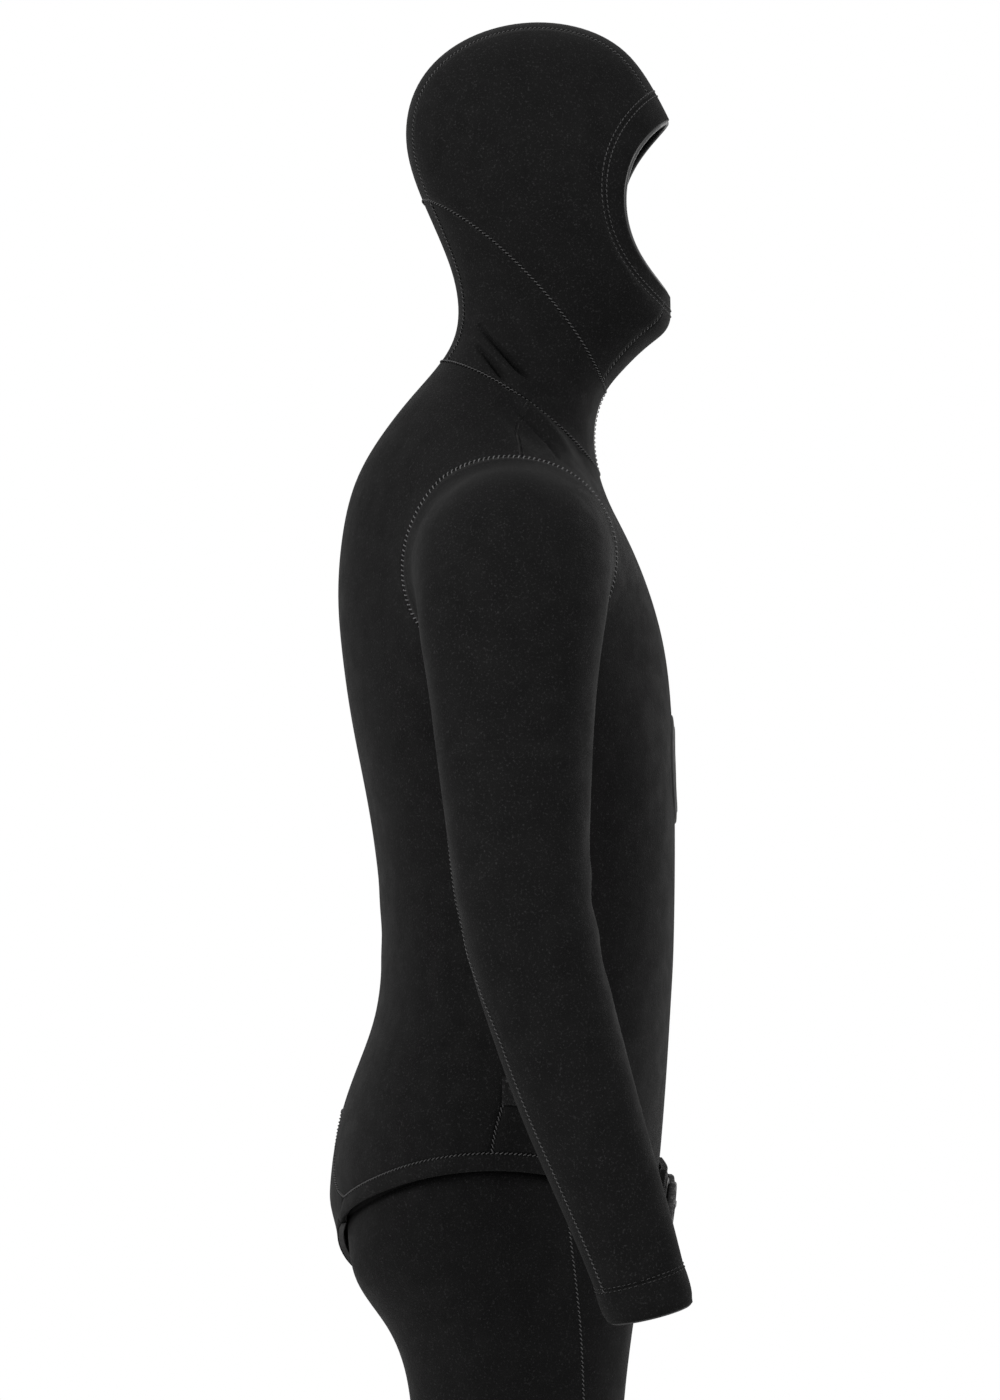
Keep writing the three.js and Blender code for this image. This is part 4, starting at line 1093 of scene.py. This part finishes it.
class Stitching:
    """Gathers runs of stitches of one thread on one body into one piece. Its slot says on which surface."""

    def __init__(self, name, thread, slot, body=None, blend=None):
        self.name, self.thread, self.slot, self.body, self.blend = name, thread, slot, body, blend
        self.labels, self.at, self.normals = SURFACES[slot]
        self.vertices, self.faces = [], []

    def run(self, at, normals, **kwargs):
        if len(at) < 2:
            return
        vertices, faces = stitch_mesh(at, normals, **kwargs)
        self.faces.append(faces + sum(len(v) for v in self.vertices))
        self.vertices.append(vertices)

    def seam(self, first, second, below=math.inf, **kwargs):
        for path in seam_between(self.labels, first, second, below):
            self.run(self.at[path], self.normals[path], **kwargs)

    def along(self, region, spots, steps=60, **kwargs):
        """Stitches on a path through the given rows and columns of a region's surface."""
        marks, shares = np.linspace(0, 1, len(spots)), np.linspace(0, 1, steps)
        rows, columns = (np.interp(shares, marks, values) for values in zip(*spots))
        pairs = list(zip(rows, columns))
        at = np.array([on_grid(region, self.at, *pair) for pair in pairs])
        self.run(at, np.array([on_grid(region, self.normals, *pair) for pair in pairs]), **kwargs)

    def finish(self):
        obj = make_object(self.name, np.concatenate(self.vertices), np.concatenate(self.faces), [self.thread])
        finish_piece(obj, self.body)


LADDER = {"pitch": 0.0037, "half": 0.0024, "radius": 0.00048, "angles": (70,), "lift": 0.0009}
BLIND = {"pitch": 0.0034, "half": 0.0017, "radius": 0.00042, "angles": (30,), "lift": 0.0007}
ROW = {"pitch": 0.0040, "half": 0.0015, "radius": 0.00036, "angles": (8,), "lift": 0.0004}

body_stitches = Stitching("body_seam_stitches", DULL_THREAD, "neoprene", "torso")
body_stitches.seam("jacket_front", "jacket_back", SHOULDER_TOP, **BLIND)
for first, second in (("jacket_back", "beavertail"), ("neck_panel", "jacket_"), ("nape_strip", "jacket_")):
    body_stitches.seam(first, second, **BLIND)
body_stitches.seam("leg_hem", "jacket_", **BLIND)
body_stitches.finish()
hood_stitches = Stitching("hood_seam_stitches", DULL_THREAD, "neoprene", "hood")
for first, second in (("hood_crown", "hood_side"), ("hood_chin", "hood_side"), ("hood_", "neck_panel"),
                      ("hood_", "nape_strip")):
    hood_stitches.seam(first, second, **BLIND)
for shift in (-0.0022, 0.0022):
    hood_stitches.seam("hood_face", "hood_", shift=shift, **ROW)
hood_stitches.finish()
neck_stitches = Stitching("neck_seam_stitches", DULL_THREAD, "neoprene", blend=NECK_BLEND)
neck_stitches.seam("nape_strip", "neck_panel", **BLIND)
neck_stitches.seam("neck_panel_right", "neck_panel_left", **BLIND)
neck_stitches.finish()
pants_stitches = Stitching("pants_seam_stitches", DULL_THREAD, "pants_neoprene", "torso")
for first, second in (("pants_front", "pants_seat"), ("pants_waist", "pants_")):
    pants_stitches.seam(first, second, **BLIND)
pants_stitches.finish()
for hand, _ in HANDS:
    armhole_stitches = Stitching(f"armhole_stitches_{hand}", THREAD, "neoprene", "torso")
    armhole_stitches.seam(f"arm_upper_{hand}", "jacket_", **LADDER)
    armhole_stitches.finish()
    sleeve, leg = f"sleeve_{hand}", f"leg_{hand}"
    blend = BLENDS[f"arm_upper_{hand}"]
    upper = Stitching(f"upper_sleeve_stitches_{hand}", DULL_THREAD, "neoprene", blend=blend)
    upper.along(sleeve, [(0, 8.5), (3, 9.5), (6, 11)], **BLIND)
    upper.finish()
    blend = BLENDS[f"arm_lower_{hand}"]
    lower = Stitching(f"lower_sleeve_stitches_{hand}", DULL_THREAD, "neoprene", blend=blend)
    lower.along(sleeve, [(6, 11), (9, 12.4), (11, 13.2), (13, 13.5), (15, 13.6)], 90, **BLIND)
    lower.finish()
    cuff = Stitching(f"wrist_cuff_stitches_{hand}", DULL_THREAD, "neoprene", f"forearm_{hand}")
    for shift in (-0.001, 0.0016):
        cuff.seam("arm_lower", "wrist_cuff", shift=shift, **ROW)
    cuff.finish()
    blend = BLENDS[f"leg_upper_{hand}"]
    thigh = Stitching(f"thigh_seam_stitches_{hand}", DULL_THREAD, "pants_neoprene", blend=blend)
    thigh.along(leg, [(0, 1.9), (2, 1.75), (4, 1.5), (6, 1.35)], **BLIND)
    thigh.along(leg, [(0, 10), (6, 10)], **BLIND)
    thigh.finish()
    blend = BLENDS[f"leg_lower_{hand}"]
    shin = Stitching(f"shin_seam_stitches_{hand}", DULL_THREAD, "pants_neoprene", blend=blend)
    shin.along(leg, [(6, 1.35), (9, 1.5), (16, 2)], 120, **BLIND)
    shin.along(leg, [(6, 10), (16, 10)], 120, **BLIND)
    shin.seam("leg_lower", "ankle_cuff", **ROW)
    shin.finish()


def lip(name, path, material, across, deep, body):
    """An oval bead along an opening's edge, a little inside the opening and behind the fabric's face."""
    closed = path[:-1] if path[0] == path[-1] else path
    at, out = jacket_points[closed], jacket_normals[closed]
    for _ in range(6):
        at = (np.roll(at, 1, axis=0) + 2 * at + np.roll(at, -1, axis=0)) / 4
    ahead = np.roll(at, -1, axis=0) - np.roll(at, 1, axis=0)
    aside = np.cross(out, ahead)
    aside /= np.linalg.norm(aside, axis=1)[:, None]
    if np.sum((at.mean(0) - at) * aside) < 0:
        aside = -aside
    middle = at + aside * across * 0.45 - out * (deep + 0.0008)
    sides = 12
    turns = [2 * math.pi * k / sides for k in range(sides)]
    rings = np.stack([middle + aside * across * math.cos(t) + out * deep * math.sin(t) for t in turns], 1)
    count = len(closed)
    index = np.arange(count * sides).reshape(count, sides)
    after, beside_it = np.roll(index, -1, axis=0), np.roll(index, -1, axis=1)
    faces = np.stack([index, beside_it, np.roll(after, -1, axis=1), after], -1).reshape(-1, 4)
    obj = make_object(name, rings.reshape(-1, 3), faces, [material])
    bm = bmesh.new()
    bm.from_mesh(obj.data)
    bmesh.ops.recalc_face_normals(bm, faces=bm.faces)
    bm.to_mesh(obj.data)
    bm.free()
    finish_piece(obj, body)


for path in jacket_rims:
    middle = points[path].mean(0)
    if middle[2] > 1.5:
        lip("face_edge_lip", path, SKIN, 0.0023, 0.0016, "hood")
    elif abs(middle[0]) > 0.2 and middle[2] < 0.9:
        hand = "left" if middle[0] > 0 else "right"
        lip(f"wrist_edge_lip_{hand}", path, FOAM, 0.0012, 0.0014, f"forearm_{hand}")

# ---- The beavertail's flap and fold ----

ON_TOP = FLAP_GAP + WALL
ACROSS = 24


def flap_row(region, line, half_width, height):
    """A row of places across the flap: its outer face over one row of the surface's grid."""
    grid = GRIDS[region]
    if region == "trunk":
        verts = np.concatenate([grid[line, COLUMNS * STEPS - STEPS:COLUMNS * STEPS], grid[line, :STEPS + 1]])
    else:
        verts = grid[line]
    at, out = jacket_base[verts], flat_normals[verts]
    order = np.argsort(at[:, 0])
    at, out = at[order], out[order]
    edge = min(half_width / 1000, at[-1, 0]) if half_width else at[-1, 0]
    spots = np.linspace(-edge, edge, ACROSS + 1)
    place = np.stack([np.interp(spots, at[:, 0], at[:, k]) for k in range(3)], 1)
    facing = np.stack([np.interp(spots, at[:, 0], out[:, k]) for k in range(3)], 1)
    facing /= np.linalg.norm(facing, axis=1)[:, None]
    return place + facing * height / 1000, facing


def sheet_of(rows):
    """Points, normals and quads of a sheet through rows of places."""
    at = np.concatenate([row[0] for row in rows])
    out = np.concatenate([row[1] for row in rows])
    index = np.arange(len(at)).reshape(len(rows), -1)
    faces = np.stack([index[:-1, :-1], index[:-1, 1:], index[1:, 1:], index[1:, :-1]], -1).reshape(-1, 4)
    return at, out, faces


flap_rows = [flap_row("strap", line, None, ON_TOP) for line in range(2 * STEPS, 0, -1)]
top_line = int(1.33 * STEPS)
for line in range(0, top_line + 1):
    corner = max(0, line / top_line - 0.72) / 0.28
    flap_rows.append(flap_row("trunk", line, 49 + 3 * line / top_line - 9 * corner**2.4, ON_TOP))
at, out, faces = sheet_of(flap_rows)
flap = thick_panel("beavertail_flap_fabric", at, out, faces, faces, WALL, [JACKET, LINING, BINDING],
                   hem=0.0014, ring=0.0028)
finish_piece(flap, "beavertail", replaces=["beavertail_flap"])
rows_here = len(flap_rows)
grid_at, grid_out = at.reshape(rows_here, -1, 3), out.reshape(rows_here, -1, 3)
flap_stitches = Stitching("beavertail_flap_stitches", DULL_THREAD, "neoprene", "beavertail")
border = [(r, 2) for r in range(1, rows_here - 2)] + [(rows_here - 2, c) for c in range(2, ACROSS - 1)]
border += [(r, ACROSS - 2) for r in range(rows_here - 3, 0, -1)]
flap_stitches.run(np.array([grid_at[spot] for spot in border]),
                  np.array([grid_out[spot] for spot in border]), **ROW)
flap_stitches.finish()

fold_rows = []
for line in range(3 * STEPS, 2 * STEPS - 1, -1):
    share = 3 - line / STEPS
    fold_rows.append(flap_row("strap", line, None, ON_TOP * share * share * (3 - 2 * share)))
at, out, faces = sheet_of(fold_rows)
fold = thick_panel("beavertail_fold_fabric", at, out, faces, faces, WALL, [JACKET, LINING, BINDING],
                   hem=0.0008)
finish_piece(fold, replaces=["beavertail_fold"])

# ---- The turn-locks ----

RIDGES = 14
RIDGE_FULLNESS, RIDGE_CURVE = 1.6, 0.8
KNOB_RADIUS, RING_RADIUS, STEM_RADIUS = 18, 20.5, 2.9
RING_LOW, RING_TOP, KNOB_LOW, KNOB_TOP = 8.2, 10.0, 10.4, 16.9


def lock_place(hand):
    """A frame on a lock's axis: +Z away from the belly, +X level."""
    joint = next(j for j in frame["joints"] if j["name"] == f"lock_turn_{hand}")
    out = Vector(joint["axis"]).normalized()
    level = Vector((-out.y, out.x, 0)).normalized()
    turned = Matrix((level, out.cross(level), out)).transposed().to_4x4()
    return Matrix.Translation(Vector(joint["pos_m"])) @ turned


def lathe(name, profile, ridge, place, materials, steps=168):
    """A turned shape from (radius, height) in millimetres, with its rim ridged where ridge says."""
    vertices, faces = [], []
    for (radius, height), amount in zip(profile, ridge):
        for k in range(steps):
            angle = 2 * math.pi * k / steps
            wave = 0.5 + 0.5 * math.cos(RIDGES * angle)
            wide = radius - amount * (1 - min(1, RIDGE_FULLNESS * wave)) ** RIDGE_CURVE
            spot = Vector((wide * math.cos(angle), wide * math.sin(angle), height))
            vertices.append(place @ (spot * 0.001))
    for ring in range(len(profile) - 1):
        for k in range(steps):
            after = (k + 1) % steps
            start, following = ring * steps, (ring + 1) * steps
            faces.append((start + k, start + after, following + after, following + k))
    faces.append(tuple(reversed(range(steps))))
    faces.append(tuple(range((len(profile) - 1) * steps, len(profile) * steps)))
    return make_object(name, vertices, faces, materials)


def rounded_bar(name, length, width, low, high, place, materials):
    bm = bmesh.new()
    bmesh.ops.create_cube(bm, size=1)
    bmesh.ops.scale(bm, vec=(length, width, high - low), verts=bm.verts)
    bmesh.ops.translate(bm, vec=(0, 0, (high + low) / 2), verts=bm.verts)
    for vert in bm.verts:
        if vert.co.z > (high + low) / 2:
            vert.co.y *= 0.62
            vert.co.x *= 0.93
    bmesh.ops.bevel(bm, geom=bm.edges[:], offset=1.0, segments=3, profile=0.6, affect="EDGES")
    bmesh.ops.scale(bm, vec=(0.001,) * 3, verts=bm.verts)
    mesh = bpy.data.meshes.new(name)
    bm.to_mesh(mesh)
    bm.free()
    mesh.transform(place)
    mesh.materials.append(materials[0])
    mesh.polygons.foreach_set("use_smooth", [True] * len(mesh.polygons))
    obj = bpy.data.objects.new(name, mesh)
    bpy.context.collection.objects.link(obj)
    return obj


for hand, sign in HANDS:
    place = lock_place(hand)
    profile = [
        (6.2, RING_LOW), (6.2, KNOB_LOW), (16.6, KNOB_LOW), (17.6, KNOB_LOW + 0.5),
        (KNOB_RADIUS, KNOB_LOW + 1.4), (KNOB_RADIUS, KNOB_TOP - 2.2), (17.5, KNOB_TOP - 1.2),
        (16.4, KNOB_TOP - 0.7), (14.6, KNOB_TOP - 0.7), (13.8, KNOB_TOP - 1.1), (13.2, KNOB_TOP - 2.4),
        (12.0, KNOB_TOP - 2.8), (5, KNOB_TOP - 3.0), (0.4, KNOB_TOP - 3.0),
    ]
    ridge = [0, 0, 0.9, 1.1, 1.2, 1.2, 1.1, 0.7, 0, 0, 0, 0, 0, 0]
    knob = lathe(f"ridged_knob_{hand}", profile, ridge, place, [PLASTIC])
    finish_piece(knob, f"knob_{hand}", replaces=[f"lock_knob_{hand}"])
    bar = rounded_bar(f"knob_grip_{hand}", 25.5, 7.5, KNOB_TOP - 3.4, KNOB_TOP + 0.3, place, [PLASTIC])
    finish_piece(bar, f"knob_{hand}")
    tongue = rounded_bar(f"lock_tongue_{hand}", 20, 6, 3.4, 5.0, place, [PLASTIC])
    finish_piece(tongue, f"knob_{hand}")
    stem_profile = [(STEM_RADIUS, 4.6), (STEM_RADIUS, RING_LOW + 0.3)]
    stem = lathe(f"lock_stem_{hand}", stem_profile, [0, 0], place, [PLASTIC], 32)
    finish_piece(stem, f"knob_{hand}")
    ring_profile = [
        (7.0, RING_LOW), (6.8, 8.5), (6.8, 9.8), (7.1, RING_TOP), (19.4, RING_TOP), (20.2, 9.7),
        (RING_RADIUS, 9.1), (20.3, 8.5), (19.8, RING_LOW), (7.0, RING_LOW),
    ]
    ring = lathe(f"lock_ring_flange_{hand}", ring_profile, [0] * len(ring_profile), place, [PLASTIC], 96)
    finish_piece(ring, "beavertail", replaces=[f"lock_ring_{hand}"])
    for node, look in ((f"lock_socket_{hand}", PLASTIC), (f"lock_washer_{hand}", STEEL)):
        mesh = frame["nodes"][node].data
        mesh.materials.clear()
        mesh.materials.append(look)

# ---- The chest pad and the tag ----

front = BVHTree.FromPolygons([Vector(p) for p in jacket_points],
                             [list(map(int, q)) for q in quads[SKIN_OF == "jacket_front_panel"]])
PAD_THICKNESS, PAD_MIDDLE = 1.6, on_trunk(0.645)
pad_rings = [(0, 0.0), (10, 0.0), (20, 0.0), (29, 0.0), (30, 0.4), (32.5, 0.5), (34, 0.0), (38, -0.1),
             (40.5, -0.4), (41.6, -0.9), (42, -1.9)]
vertices, faces = [], []
PAD_STEPS = 96
for radius, rise in pad_rings:
    for k in range(PAD_STEPS):
        angle = 2 * math.pi * k / PAD_STEPS
        x, z = radius * math.cos(angle) / 1000, (PAD_MIDDLE + radius * math.sin(angle)) / 1000
        hit, _, _, _ = front.ray_cast(Vector((x, -1, z)), Vector((0, 1, 0)))
        vertices.append((x, hit.y - (PAD_THICKNESS + rise) / 1000, z))
for ring in range(1, len(pad_rings)):
    for k in range(PAD_STEPS):
        after = (k + 1) % PAD_STEPS
        start, following = (ring - 1) * PAD_STEPS, ring * PAD_STEPS
        faces.append((start + k, start + after, following + after, following + k))
pad = make_object("round_chest_pad", vertices, faces, [PAD])
finish_piece(pad, "torso", replaces=["chest_pad"])

low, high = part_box("side_tag")
tag_middle = (Vector(low) + Vector(high)) / 2
vertices, faces = [], []
TAG_ROWS, TAG_COLUMNS, TAG_HALF_THICKNESS = 14, 8, 0.0006
for layer in (-1, 1):
    for r in range(TAG_ROWS + 1):
        for c in range(TAG_COLUMNS + 1):
            u, v = c / TAG_COLUMNS - 0.5, r / TAG_ROWS - 0.5
            edge = max(0, 1 - (2 * abs(u)) ** 8) * max(0, 1 - (2 * abs(v)) ** 12)
            curl = 0.0007 * math.sin(3.2 * v + 0.6) + 0.0005 * u
            across = layer * TAG_HALF_THICKNESS * edge**0.5 + curl
            vertices.append(tag_middle + Vector((across, u * (high[1] - low[1]), v * (high[2] - low[2]))))
count = (TAG_ROWS + 1) * (TAG_COLUMNS + 1)
for r in range(TAG_ROWS):
    for c in range(TAG_COLUMNS):
        a = r * (TAG_COLUMNS + 1) + c
        quad = (a, a + 1, a + TAG_COLUMNS + 2, a + TAG_COLUMNS + 1)
        faces.append(tuple(reversed([k + count for k in quad])))
        faces.append(quad)
tag = make_object("blank_side_tag", vertices, faces, [RIBBON])
finish_piece(tag, "torso", replaces=["side_tag"])

for hand, _ in HANDS:
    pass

# ---- The floor ----

floor = bpy.data.objects.new("floor", bpy.data.meshes.new("floor"))
FLOOR_RADIUS, FLOOR_CORNERS, FLOOR_BELOW = 3, 96, 0.002
turns = [2 * math.pi * k / FLOOR_CORNERS for k in range(FLOOR_CORNERS)]
ring = [(FLOOR_RADIUS * math.cos(turn), FLOOR_RADIUS * math.sin(turn), -FLOOR_BELOW) for turn in turns]
floor.data.from_pydata(ring, [], [list(range(FLOOR_CORNERS))])
bpy.context.collection.objects.link(floor)
floor.data.materials.append(material("pale_floor", (0.86, 0.86, 0.86), 0.9))
